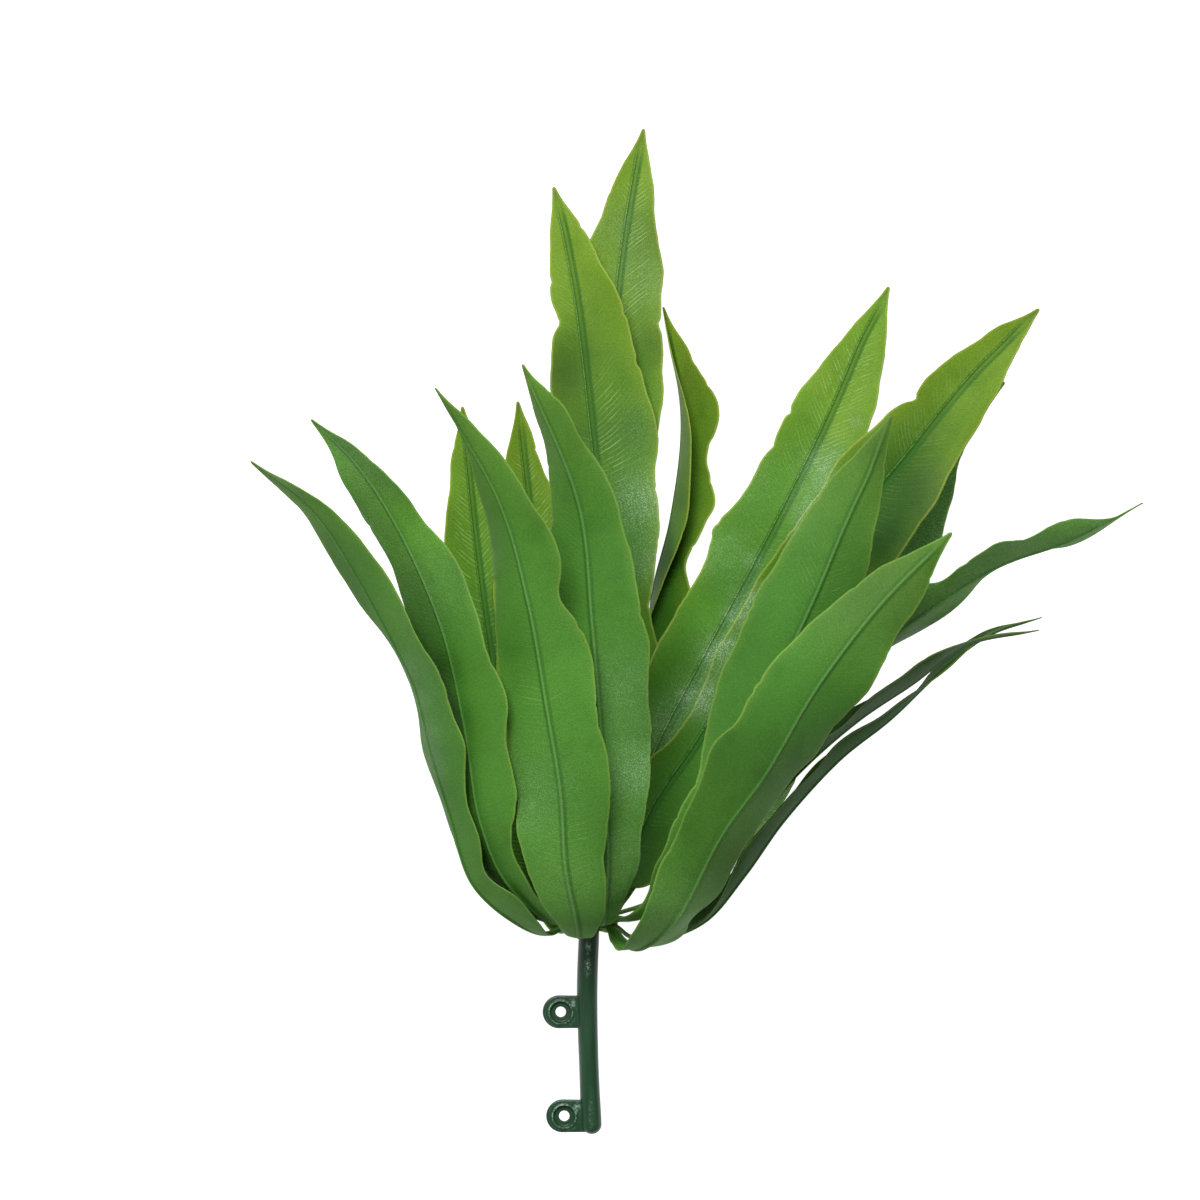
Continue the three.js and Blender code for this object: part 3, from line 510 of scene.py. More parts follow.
# root: the angle at which the frond leaves its ring. spine: the middle of the blade from the hub to the tip.
# facing and cup: degrees, at even steps along it. wave: height, count and start of the edge waves.
# swells: side, share of the length, how far the edge stands out there, and its reach.
# notches: side, share of the length, depth.
# rib: how far the midrib stands to the right of the middle, at even steps.
# spots: kind, place to the right of the hub and above it, reach, strength.
# painted light, painted shade, olive and shade, gloss and sheen, yellow and veins: the same all over the
# blade.
# Painted light and painted shade are painted into the colour; gloss lowers the roughness and paints a pale
# sheen; olive is partly the blade's own tone and partly painted shade.
FRONDS = {
    "frond_left_outer": dict(
        whorl=0, root=-72,
        spine=[(-18, -0.6, 9), (-30, 5.6, 19), (-45, 21, 29), (-52.8, 48, 37), (-60, 73, 42),
               (-66, 97, 45), (-74, 114, 46), (-91, 143, 45), (-109, 168, 43), (-132, 186, 40)],
        facing=[-72, -64, -66, -66, -60, -55], cup=[8, 10, 10, 8, -10], wave=(1.5, 3, 0),
        swells=[(-1, 0.6, 4, 0.08), (-1, 0.41, -3.5, 0.05), (1, 0.93, 3, 0.05), (1, 0.37, -5, 0.07),
                (1, 0.24, -4, 0.04), (1, 0.11, 4, 0.05), (1, 0.66, 1.2, 0.08), (1, 0.17, 6.5, 0.07),
                (1, 0.21, 3, 0.03), (1, 0.52, -2, 0.03), (1, 0.46, 2, 0.03)],
        rib=[0, -2, -6, -5, 0, 0],
        spots=[("gloss_and_sheen", -70, 106, 6, 0.25), ("gloss_and_sheen", -66, 93, 6, 0.3), ("gloss_and_sheen", -63, 80, 6, 0.3),
               ("gloss_and_sheen", -61, 68, 6, 0.35), ("painted_light", -115, 173, 18, 0.8),
               ("painted_light", -74, 128, 18, 0.5), ("painted_light", -39, 16, 16, 0.8)]),
    "frond_left_inner": dict(
        whorl=1, root=-48,
        spine=[(-13, 4, 14), (-20, 9, 29), (-33, 24, 41), (-42, 47, 48), (-48, 84, 52), (-57, 122, 53),
               (-75, 162, 50), (-92, 187, 48), (-108, 202, 46)],
        facing=[-48, -50, -54, -50, -46, -46], cup=[8, 12, 12, 6, -10], wave=(1.5, 3, 0.3),
        swells=[(-1, 0.83, 5, 0.06), (-1, 0.12, 4, 0.06), (1, 0.85, 2, 0.04), (1, 0.76, -2.5, 0.04),
                (1, 0.5, 5.5, 0.05), (1, 0.27, -4.5, 0.05), (-1, 0.6, 3, 0.08), (-1, 0.9, 2.5, 0.05),
                (-1, 0.19, 9.5, 0.06), (1, 0.31, 2, 0.04)],
        painted_light=0.2,
        notches=[(1, 0.302, 0.9), (1, 0.33, 0.6)],
        spots=[("painted_light", -89, 186, 24, 0.9), ("painted_light", -73, 159, 22, 0.8),
               ("gloss_and_sheen", -95, 188, 24, 0.35), ("gloss_and_sheen", -62, 140, 20, 0.2), ("painted_shade", -57, 106, 7, 0.6),
               ("painted_shade", -51, 86, 6, 0.5), ("painted_shade", -49, 58, 6, 0.5), ("painted_shade", -41, 31, 9, 0.5)]),
    "frond_front_left": dict(
        whorl=0, root=-10,
        spine=[(-4, -0.6, 23), (-5, 8, 46), (-9, 29, 60), (-11, 59, 66), (-16, 90, 68), (-23, 130, 67),
               (-34, 169, 66), (-59, 213, 68)],
        facing=[-10, -10, -12, -26, -46, -60], cup=[8, 12, 12], wave=(1.5, 3, 0.6),
        swells=[(-1, 0.92, -5.5, 0.07), (1, 0.65, -6.5, 0.04), (1, 0.29, -1.6, 0.05),
                (-1, 0.32, 1.3, 0.04)],
        painted_light=0.2,
        spots=[("olive_and_shade", -53, 208, 12, 0.5), ("painted_shade", -32, 113, 12, 0.25), ("gloss_and_sheen", -25, 56, 18, 0.25),
               ("veins", -23, 94, 12, 0.4), ("veins", -4, 32, 16, 0.6), ("painted_light", -8, 22, 14, 0.5),
               ("gloss_and_sheen", -8, 22, 14, 0.2)]),
    "frond_front_middle": dict(
        whorl=1, root=14,
        spine=[(5, 4.6, 22), (6, 13.4, 38), (7, 31, 48), (6, 55, 52), (4, 85, 53), (1, 124, 53),
               (-4, 169, 52), (-26, 223, 52)],
        facing=[14, 10, 0, -16, -36, -50], cup=[8, 12, 12], wave=(1.5, 3, 0.1),
        swells=[(1, 0.92, 3, 0.04), (1, 0.74, -2.4, 0.08), (1, 0.53, 1.5, 0.05), (1, 0.25, -1.2, 0.06)],
        painted_light=0.1,
        spots=[("gloss_and_sheen", 19, 66, 12, 0.6), ("gloss_and_sheen", 15, 97, 16, 0.25), ("gloss_and_sheen", 14, 35, 14, 0.2),
               ("painted_shade", -16, 155, 10, 0.3), ("painted_shade", 4, 171, 16, 0.3), ("veins", 12, 43, 16, 0.5),
               ("painted_light", 10, 19, 16, 0.8), ("gloss_and_sheen", 10, 19, 14, 0.3)]),
    "frond_front_right": dict(
        whorl=2, root=32,
        spine=[(12, 6, 16), (22, 9, 29), (35, 22, 37), (48, 42, 40), (61, 73, 41), (73, 106, 41),
               (88, 138, 40), (102, 170, 38), (118, 204, 36)],
        facing=[32, 20, 12, 10, 10, 10], cup=[8, 12, 12], wave=(1.5, 3, 0.4),
        swells=[(-1, 0.38, -4, 0.08), (-1, 0.15, -4, 0.06), (1, 0.76, 2, 0.06), (-1, 0.19, 2.5, 0.04)],
        rib=[0, 0, 1.5, 2, 1.2, 2],
        spots=[("veins", 88, 132, 16, 0.4), ("olive_and_shade", 110, 194, 10, 0.3)]),
    "frond_right_front": dict(
        whorl=0, root=50,
        spine=[(12, -3, 18), (21, -3, 40), (33, 9, 54), (51, 43, 60), (67, 65, 60), (87, 98, 58),
               (112, 130, 54), (140, 158, 50)],
        facing=[50, 45, 40, 34, 4, 0], cup=[8, 12, 12], wave=(1.5, 3, 0.7),
        swells=[(-1, 0.62, 1.5, 0.04), (-1, 0.5, 5, 0.06), (-1, 0.37, -1.2, 0.04),
                (-1, 0.23, 2.5, 0.05), (1, 0.9, 1, 0.04), (1, 0.72, 1.8, 0.05), (1, 0.59, 4.5, 0.04),
                (1, 0.28, 4, 0.05), (1, 0.16, 10, 0.06), (-1, 0.52, 4.5, 0.05), (-1, 0.59, 1.5, 0.03)],
        spots=[("olive_and_shade", 77, 67, 14, 0.3), ("olive_and_shade", 58, 32, 14, 0.5), ("olive_and_shade", 100, 124, 18, 0.2),
               ("painted_light", 31, 11, 18, 0.9), ("gloss_and_sheen", 31, 11, 14, 0.3), ("painted_light", 50, 48, 16, 0.5),
               ("painted_shade", 132, 149, 12, 0.3), ("olive_and_shade", 122, 136, 14, 0.3)]),
    "frond_right_wavy": dict(
        whorl=2, root=84,
        spine=[(14, 8, 4), (28, 14, 7), (52, 42, 11), (83, 81, 13), (110, 110, 14), (134, 128, 15),
               (162, 145.5, 15), (190, 155.5, 13), (219.5, 170.5, 12)],
        facing=[84, 68, 56, 50, 50, 50], cup=[8, 14, 14], wave=(3, 4, 0.2),
        swells=[(-1, 0.95, -4, 0.04), (-1, 0.86, 0.5, 0.04), (-1, 0.78, 4, 0.025),
                (-1, 0.69, -9, 0.035), (1, 0.78, -3, 0.03), (1, 0.6, 12, 0.06)],
        painted_light=1,
        gloss_and_sheen=0.3,
        yellow=0.9,
        notches=[(-1, 0.729, 1.2)]),
    "frond_right_thin_upper": dict(
        whorl=1, root=72,
        spine=[(15, 5, 3), (28, 8, 2), (54, 28, 0), (80, 60, 1), (106, 83.5, 3), (128.5, 99, 7),
               (149, 114, 12), (178, 120, 14)],
        facing=[72, 78, 82, 85, 85, 85], cup=[8, 14, 14], wave=(1.5, 3, 0.5),
        swells=[(1, 0.79, -10, 0.13), (1, 0.66, -4, 0.07), (-1, 0.6, -3, 0.08)],
        painted_shade=0.8,
        olive_and_shade=0.5),
    "frond_right_thin_lower": dict(
        whorl=0, root=105,
        spine=[(16, -2.8, -4), (27, -4, -7), (46, 3, -11), (62, 21, -15), (78, 43, -17), (101, 68, -17),
               (121, 84, -15), (143, 105, -12), (161, 118, -11.5), (182, 125, -10)],
        facing=[105, 92, 84, 80, 87, 88], cup=[8, 14, 14, 12, 7, 7], wave=(1.5, 3, 0.8),
        swells=[(1, 0.66, -7, 0.12), (-1, 0.78, -8, 0.14), (-1, 0.67, -4, 0.08)],
        painted_shade=0.8,
        olive_and_shade=0.5),
    "frond_back_low_left": dict(
        whorl=0, root=225,
        spine=[(-12, -2, -18), (-17, 7, -36), (-27, 37, -50), (-36, 78, -54), (-42, 115, -57),
               (-47, 153, -57.5), (-50, 182, -55), (-53, 212, -51)],
        facing=[225, 212, 200, 198, 200, 205], cup=[8, 12, 12], wave=(1.2, 3, 0.1),
        painted_light=0.3,
        veins=0.7),
    "frond_back_low_middle": dict(
        whorl=1, root=238,
        spine=[(-10, 3, -18), (-14, 12, -38), (-14, 49, -54), (-18, 91, -55), (-22, 132, -55),
               (-25, 169, -53), (-30, 214, -48)],
        facing=[238, 210, 186, 184, 190, 200], cup=[8, 12, 12], wave=(1.2, 3, 0.5),
        swells=[(-1, 0.89, -2.5, 0.05)],
        veins=0.7),
    "frond_back_tall_left": dict(
        whorl=2, root=216,
        spine=[(-6, 7, -20), (4, 16, -32), (10, 46, -39), (12, 91, -39), (11, 144, -37), (6, 193, -36),
               (-2, 251, -35), (-15, 301, -34)],
        facing=[216, 190, 180, 180, 180, 180], cup=[8, 10, 10], wave=(1.2, 3, 0.2),
        swells=[(1, 0.84, -2.6, 0.02), (-1, 0.68, 2.8, 0.05), (-1, 0.46, -6, 0.07)],
        rib=[0, 2, 4, 4, 3.2, -0.5],
        notches=[(1, 0.828, 2), (-1, 0.764, 1.4)],
        spots=[("olive_and_shade", -12, 224, 12, 0.6), ("olive_and_shade", -6, 198, 12, 0.4), ("veins", 14, 216, 11, 0.9),
               ("veins", 15, 193, 11, 0.9), ("veins", -14, 265, 8, 0.35), ("gloss_and_sheen", 22, 173, 12, 0.8),
               ("gloss_and_sheen", 25, 148, 10, 0.5), ("gloss_and_sheen", 20, 202, 12, 0.2), ("painted_shade", 4, 259, 14, 0.2),
               ("painted_shade", -8, 234, 16, 0.4), ("painted_shade", 16, 202, 12, 0.35)]),
    "frond_back_tall_middle": dict(
        whorl=1, root=182,
        spine=[(0, 2, -23), (5, 13, -38), (6, 49, -43), (6, 99, -43), (4, 157, -43), (8, 215, -43),
               (13, 271, -45), (22, 326, -44)],
        facing=[182, 180, 180, 180, 180, 180], cup=[8, 10, 10], wave=(1.2, 3, 0.6),
        swells=[(-1, 0.83, 1.3, 0.04), (-1, 0.67, 2.4, 0.08)],
        notches=[(-1, 0.771, 1.6)],
        spots=[("veins", 23, 301, 9, 0.9), ("veins", 22, 278, 10, 0.9), ("veins", 21, 256, 12, 0.9),
               ("gloss_and_sheen", 8, 286, 14, 0.25), ("gloss_and_sheen", 23, 262, 12, 0.25), ("olive_and_shade", 26, 237, 10, 0.3),
               ("painted_shade", 23, 284, 14, 0.35)]),
    "frond_back_twisted": dict(
        whorl=0, root=160,
        spine=[(7, -2, -22), (9, 6, -46), (14, 28, -58.5), (20, 66, -59), (24, 100, -59),
               (26, 133, -58.5), (34, 167, -56), (38, 208, -52), (30, 253, -48)],
        facing=[160, 170, 180, 212, 212, 205], cup=[8, 10, 14, 68, 70, 55], wave=(1, 3, 0),
        swells=[(1, 0.5, -7, 0.07), (-1, 0.86, 6, 0.035), (-1, 0.79, -3, 0.02), (-1, 0.735, 3, 0.02),
                (-1, 0.65, -8, 0.035), (-1, 0.14, -6, 0.06), (1, 0.6, -5, 0.09), (1, 0.4, -4, 0.06)],
        notches=[(-1, 0.812, 1.2)],
        spots=[("yellow", 41, 237, 12, 0.3), ("painted_shade", 43, 194, 20, 0.35), ("olive_and_shade", 38, 223, 8, 0.25),
               ("painted_shade", 44, 153, 12, 0.25), ("painted_shade", 31, 148, 10, 0.7), ("painted_shade", 25, 213, 6, 0.9),
               ("painted_shade", 25, 194, 6, 0.9), ("painted_shade", 23, 173, 7, 0.9), ("painted_shade", 37, 173, 7, 0.3)]),
    "frond_back_right": dict(
        whorl=2, root=174,
        spine=[(3, 8, -18), (9, 15, -27), (18, 41, -31), (31, 77, -31), (47, 109, -31), (73, 154, -31),
               (99, 206, -32), (122, 260, -32)],
        facing=[174, 178, 180, 180, 180, 180], cup=[8, 10, 10], wave=(1.2, 3, 0.3),
        swells=[(1, 0.83, 2.5, 0.045), (1, 0.59, 4, 0.04)],
        rib=[0, 1.5, -0.5, 1.2, 1.4, 1.6],
        painted_light=0.3,
        notches=[(1, 0.729, 1.2), (1, 0.6, 1), (1, 0.575, 0.9)],
        spots=[("veins", 104, 226, 14, 1), ("veins", 95, 197, 14, 0.8), ("gloss_and_sheen", 96, 185, 9, 0.8),
               ("gloss_and_sheen", 89, 169, 7, 0.6), ("yellow", 107, 205, 8, 1.5), ("gloss_and_sheen", 109, 205, 3, 0.3),
               ("gloss_and_sheen", 65, 181, 14, 0.3), ("gloss_and_sheen", 54, 152, 12, 0.35), ("gloss_and_sheen", 66, 148, 3.5, 0.5),
               ("gloss_and_sheen", 57, 125, 3.5, 0.6), ("gloss_and_sheen", 49, 110, 3.5, 0.6), ("gloss_and_sheen", 39, 93, 3.5, 0.6),
               ("gloss_and_sheen", 65, 130, 8, 0.6), ("gloss_and_sheen", 54, 110, 9, 0.7), ("gloss_and_sheen", 45, 91, 10, 0.6),
               ("gloss_and_sheen", 29, 81, 10, 0.5), ("painted_shade", 24, 38, 18, 0.6), ("yellow", 118, 246, 20, 1.2),
               ("yellow", 106, 225, 14, 0.5), ("painted_light", 78, 177, 14, 0.5), ("painted_light", 59, 173, 8, 0.6),
               ("painted_light", 53, 154, 8, 0.5), ("painted_light", 45, 124, 12, 0.5)]),
    "frond_back_far_right": dict(
        whorl=2, root=130,
        spine=[(10, 8, -12), (11, 15, -20), (18, 29, -22), (27, 49, -22), (43, 72, -21), (69, 112, -20),
               (98, 152, -20), (127, 186, -20), (158, 226, -20), (182, 250, -20)],
        facing=[130, 160, 175, 180, 180, 180], cup=[8, 10, 10], wave=(1.2, 3, 0.7),
        swells=[(1, 0.81, -1.5, 0.02), (1, 0.7, 2.8, 0.06), (1, 0.3, -8, 0.09), (-1, 0.63, 3.5, 0.05),
                (-1, 0.78, -1.5, 0.06), (-1, 0.1, 9, 0.04), (1, 0.43, -3, 0.14)],
        rib=[0, 0, 1, 1.5, 1, -1.5],
        notches=[(1, 0.807, 1.5)],
        spots=[("painted_shade", 128, 160, 20, 0.5), ("olive_and_shade", 136, 173, 16, 0.5),
               ("yellow", 128, 205, 14, 0.15), ("veins", 132, 201, 12, 0.35),
               ("painted_shade", 138, 205, 12, 0.2), ("gloss_and_sheen", 92, 178, 8, 1.4), ("gloss_and_sheen", 83, 164, 7, 1.1),
               ("painted_shade", 126, 185, 14, 0.5), ("painted_shade", 117, 154, 14, 0.3), ("gloss_and_sheen", 64, 132, 7, 1),
               ("gloss_and_sheen", 55, 112, 7, 1.1), ("gloss_and_sheen", 45, 93, 8, 1.2), ("gloss_and_sheen", 62, 127, 5, 1)]),
    "frond_back_hidden_right": dict(
        whorl=1, root=128,
        spine=[(17, 3, -17), (33, 12, -34), (58, 46, -50), (83, 90, -56), (112, 132, -60),
               (135, 173, -57), (146, 200, -53), (171, 222, -48)],
        facing=[128, 150, 170, 180, 180, 180], cup=[8, 10, 10], wave=(1.2, 3, 0.4),
        swells=[(-1, 0.8, -2.5, 0.06)],
        painted_light=1,
        gloss_and_sheen=1.3,
        yellow=1),
}


def along(values, share):
    """A smooth value at each share of the way along a list of evenly spaced values."""
    values = np.asarray(values, float)
    place = np.clip(share, 0, 1) * (len(values) - 1)
    start = np.minimum(place.astype(int), len(values) - 2)
    t = place - start
    before = values[np.maximum(start - 1, 0)]
    first, second = values[start], values[start + 1]
    after = values[np.minimum(start + 2, len(values) - 1)]
    bend = 2 * before - 5 * first + 4 * second - after
    twist = -before + 3 * first - 3 * second + after
    return 0.5 * (2 * first + (second - before) * t + bend * t ** 2 + twist * t ** 3)


def smoothstep(value, low, high):
    t = np.clip((value - low) / (high - low), 0, 1)
    return t * t * (3 - 2 * t)


def bell(value, middle, reach):
    """1 at the middle, falling off smoothly on both sides."""
    return np.exp(-((value - middle) / reach) ** 2)


def unit(vectors):
    return vectors / np.linalg.norm(vectors, axis=-1, keepdims=True)


def smooth_path(points, places):
    """Points on a centripetal Catmull-Rom curve. places run from 0 to 1, evenly over the spans."""
    points = np.asarray(points, float)
    points = np.vstack([2 * points[0] - points[1], points, 2 * points[-1] - points[-2]])
    spans = len(points) - 3
    place = np.clip(places, 0, 1) * spans
    start = np.minimum(place.astype(int), spans - 1)
    t = (place - start)[:, None]
    p0, p1, p2, p3 = (points[start + step] for step in range(4))
    d0, d1, d2 = (np.linalg.norm(b - a, axis=1)[:, None] ** 0.5 for a, b in ((p0, p1), (p1, p2), (p2, p3)))
    slope1 = ((p1 - p0) / d0 - (p2 - p0) / (d0 + d1) + (p2 - p1) / d1) * d1
    slope2 = ((p2 - p1) / d1 - (p3 - p1) / (d1 + d2) + (p3 - p2) / d2) * d1
    return (p1 + slope1 * t + (3 * (p2 - p1) - 2 * slope1 - slope2) * t ** 2
            + (2 * (p1 - p2) + slope1 + slope2) * t ** 3)


class Spine:
    """The middle line of a frond, read by share of its length."""

    STEPS = 2000
    RUN_STEP = 0.002

    def __init__(self, frond):
        angle = math.radians(frond["root"])
        level = STEM_SHOULDER + CLEARANCE + RING_HEIGHT / 2 + frond["whorl"] * RING_PITCH
        roots = []
        for distance in (RING_RADIUS + CLEARANCE, RING_RADIUS + CLEARANCE + ROOT_STRAIGHT):
            roots.append((distance * math.sin(angle), level, distance * math.cos(angle)))
        self.points = smooth_path(roots + frond["spine"], np.linspace(0, 1, self.STEPS + 1))
        steps = np.linalg.norm(np.diff(self.points, axis=0), axis=1)
        lengths = np.concatenate([[0], np.cumsum(steps)])
        self.length = lengths[-1]
        self.shares = lengths / self.length

    def at(self, share):
        return np.stack([np.interp(share, self.shares, self.points[:, i]) for i in range(3)], axis=-1)

    def run(self, share):
        """The direction in which the spine runs."""
        ahead = self.at(np.minimum(share + self.RUN_STEP, 1))
        return unit(ahead - self.at(np.maximum(share - self.RUN_STEP, 0)))


# Detail that the solids leave out

SPOT_KINDS = ("gloss_and_sheen", "painted_shade", "yellow", "veins", "olive_and_shade", "painted_light")
ROWS = 190
# More rows at the tip, this far from it
TIP_ROWS = np.array([0.1, 0.25, 0.45, 0.7, 1.0])
TIP_ROUNDING = 1.2
# Columns on each side: close together at the midrib, over at most this share of the half width
RIB_COLUMNS = (0.0, 0.28, 0.55, 0.9, 1.3, 1.8, 2.5)
RIB_SHARE = 0.4
# The other columns out to the edge
SIDE_COLUMNS = 14
SIDE_CROWDING = 1.25
RIB_GROOVE = 0.45
EDGE_THINNING = 0.45
EDGE_THINNING_REACH = 3.0
# How far the rounded edge stands proud, as a share of half the thickness
EDGE_ROUNDING = 0.8
FLUTTER_HEIGHT = 0.35
FLUTTER_COUNT = 7.3
WANDER_LENGTHS = np.array([47.0, 29.0, 17.0, 7.0])
WANDER_HEIGHTS = 0.35 * np.array([1.0, 0.8, 0.45, 0.16])
NICKS = 5
NICK_PLACES = (0.25, 0.98)
NICK_DEPTHS = (0.3, 0.9)
NICK_WIDTH = 1.1
NOTCH_WIDTH = 2.2
# Steps for measuring which way the blade faces: a share of its half width, and millimetres along it
ACROSS_STEP = 0.02
ALONG_STEP = 0.25


def edge_wander(generator, length):
    """How far an edge strays from its clean outline: slow wander, and a few small nicks in the moulding."""
    phases = generator.uniform(0, 2 * np.pi, len(WANDER_LENGTHS))
    counts = length / WANDER_LENGTHS
    places = generator.uniform(*NICK_PLACES, NICKS)
    depths = generator.uniform(*NICK_DEPTHS, NICKS)

    def wander(share):
        total = sum(h * np.sin(2 * np.pi * c * share + p) for h, c, p in zip(WANDER_HEIGHTS, counts, phases))
        for place, depth in zip(places, depths):
            total = total - depth * np.exp(-np.abs((share - place) * length / NICK_WIDTH) ** 1.5)
        return total

    return wander


def outline_at(outline, distance):
    return along(outline, distance / OUTLINE_STEP / (len(outline) - 1))


def edge_width(frond, length, wander, share, sign):
    """Half width of the blade on one side, at each share of its length."""
    from_tip = outline_at(OUTLINE_FROM_TIP, length * (1 - share))
    width = FROND_HALF_WIDTH * outline_at(OUTLINE_FROM_ROOT, length * share) * from_tip
    for side, place, amount, reach in frond.get("swells", ()):
        if side == sign:
            width = width + amount * bell(share, place, reach)
    for side, place, depth in frond.get("notches", ()):
        if side == sign:
            width = width - depth * np.exp(-np.abs((share - place) * length / NOTCH_WIDTH) ** 1.3)
    width = width + wander(share) * smoothstep(width, 1.5, 8)
    tip = (1 - (1 - share) * length / TIP_ROUNDING).clip(0, 1)
    return np.maximum(width, TIP_HALF_WIDTH) * np.sqrt(np.clip(1 - tip ** 2, 0.02, 1))


def blade_columns(width):
    """Distance of every column from the midrib."""
    rib_reach = RIB_COLUMNS[-1]
    squeeze = np.minimum(1, width * RIB_SHARE / rib_reach)
    reach = (rib_reach * squeeze)[:, None]
    outer = np.arange(1, SIDE_COLUMNS + 1) / SIDE_COLUMNS
    rest = reach + (width[:, None] - reach) * (1 - (1 - outer) ** SIDE_CROWDING)
    return np.concatenate([np.array(RIB_COLUMNS) * squeeze[:, None], rest], axis=1)


def in_loops(outer, right_edge, inner, left_edge):
    """Values in the order in which the points of each row run round the blade."""
    return np.concatenate([outer, right_edge[:, None], inner[:, ::-1], left_edge[:, None]], axis=1)


class Blade:
    """A grid over the middle surface of one frond, with rows along it and columns across it."""

    def __init__(self, name, frond):
        self.frond = frond
        self.spine = Spine(frond)
        length = self.spine.length
        generator = np.random.default_rng(sum(map(ord, name)))
        wanders = [edge_wander(generator, length) for _ in range(2)]
        share = np.unique(np.concatenate([np.linspace(0, 1, ROWS), 1 - TIP_ROWS / length]))
        self.left = edge_width(frond, length, wanders[0], share, -1)
        self.right = edge_width(frond, length, wanders[1], share, 1)
        rib = along(frond.get("rib", (0.0, 0.0)), share)
        rib = rib * smoothstep(np.minimum(self.left, self.right), 2, 10)
        left_columns = -blade_columns(self.left + rib)[:, ::-1]
        right_columns = blade_columns(self.right - rib)[:, 1:]
        distance = np.concatenate([left_columns, right_columns], axis=1) + rib[:, None]
        self.from_rib = distance - rib[:, None]
        self.share = share[:, None] * np.ones_like(distance)
        self.sign = np.where(distance < 0, -1.0, 1.0)
        self.width = np.where(self.sign < 0, self.left[:, None], self.right[:, None])
        self.across = distance / self.width
        self.from_edge = self.width - np.abs(distance)

    def at(self, share, across):
        """Points of the middle surface. across runs from -1 at the left edge to 1 at the right edge."""
        angle = np.radians(along(self.frond["facing"], share))
        run = self.spine.run(share)
        side = np.stack([np.cos(angle), np.zeros_like(angle), -np.sin(angle)], axis=-1)
        side = unit(side - np.sum(side * run, axis=-1, keepdims=True) * run)
        opened = smoothstep(share, OPENS_FROM, OPENS_TO)
        fold = np.radians(along(self.frond["cup"], share)) * opened
        height, count, start = self.frond["wave"]
        turn = 2 * np.pi * (count * share + start + np.where(self.sign > 0, WAVE_LAG, 0))
        calm = np.minimum(1, (1 - share) / WAVE_TIP_REACH)
        rise = height * opened * calm * across ** 2 * np.sin(turn)
        flutter = 2 * np.pi * (FLUTTER_COUNT * share + 1.7 * start + np.where(self.sign > 0, 0.6, 0.1))
        rise = rise + FLUTTER_HEIGHT * opened * calm * across ** 4 * np.sin(flutter)
        rise = rise - self.width * np.abs(across) ** CUP_CURVE * np.sin(fold)
        beside = side * (self.width * across * np.cos(fold))[..., None]
        return self.spine.at(share) + beside + np.cross(side, run) * rise[..., None]

    def directions(self):
        """The way across the blade and the way out of its outer face, at every point."""
        right = self.at(self.share, np.clip(self.across + ACROSS_STEP, -1, 1))
        across_way = right - self.at(self.share, np.clip(self.across - ACROSS_STEP, -1, 1))
        step = ALONG_STEP / self.spine.length
        ahead = self.at(np.minimum(self.share + step, 1), self.across)
        along_way = ahead - self.at(np.maximum(self.share - step, 0), self.across)
        return unit(across_way), unit(np.cross(across_way, along_way))

    def loops(self):
        """Points round the blade, row by row: outer face, right edge, inner face, left edge."""
        points = self.at(self.share, self.across)
        across_way, normal = self.directions()
        rootness = 1 - smoothstep(self.share, 0, ROOT_REACH)
        thickness = BLADE_THICKNESS + (ROOT_THICKNESS - BLADE_THICKNESS) * rootness
        thinned = 1 - EDGE_THINNING * (1 - smoothstep(self.from_edge, 0, EDGE_THINNING_REACH))
        half = thickness * thinned / 2
        rib = (1 - rootness) * np.sqrt(np.clip(1 - self.share, 0, 1)) * smoothstep(self.width, 0.6, 4)
        away = np.abs(self.from_rib)
        ridge = bell(away, 0, 0.75) - 0.16 * bell(away, 2.0, 0.8)
        groove = bell(away, 0, 1.0) - 0.35 * bell(away, 1.6, 0.5)
        outer = points + normal * (half + RIB_HEIGHT * rib * ridge)[..., None]
        inner = points - normal * (half - RIB_GROOVE * rib * groove)[..., None]
        left_edge = points[:, 0] - across_way[:, 0] * half[:, :1] * EDGE_ROUNDING
        right_edge = points[:, -1] + across_way[:, -1] * half[:, -1:] * EDGE_ROUNDING
        return in_loops(outer, right_edge, inner, left_edge)

    def spots(self, points):
        """How strong each kind of colouring, painted light and painted shade among them, is at each point,
        from the frond's list of soft spots.
        """
        values = {kind: np.zeros(points.shape[:-1]) for kind in SPOT_KINDS}
        for kind, x, y, reach, amount in self.frond.get("spots", ()):
            values[kind] += amount * bell(np.hypot(points[..., 0] - x, points[..., 1] - y), 0, reach)
        for kind in SPOT_KINDS:
            values[kind] += self.frond.get(kind, 0.0)
        return np.stack([np.clip(values[kind], 0, 1) for kind in SPOT_KINDS], axis=-1)

    def layers(self, loops):
        """What the leaf's material reads at each point, under the names of BLADE_LAYERS."""
        rows, columns = self.across.shape
        from_root = self.share * self.spine.length
        place = np.stack([self.from_rib, from_root, self.from_edge], axis=-1)
        right = np.stack([self.right, from_root[:, 0], np.zeros(rows)], axis=-1)
        left = np.stack([-self.left, from_root[:, 0], np.zeros(rows)], axis=-1)
        widths = in_loops(self.width, self.right, self.width, self.left)
        outer_face = np.concatenate([np.ones(columns), [0.5], np.zeros(columns), [0.5]])
        shares = self.share[:, :1] * np.ones_like(widths)
        kinds = np.stack([shares, outer_face * np.ones_like(widths), widths], axis=-1)
        spots = self.spots(loops)
        places = in_loops(place, right, place, left)
        return dict(zip(BLADE_LAYERS, (places, kinds, spots[..., :3], spots[..., 3:])))


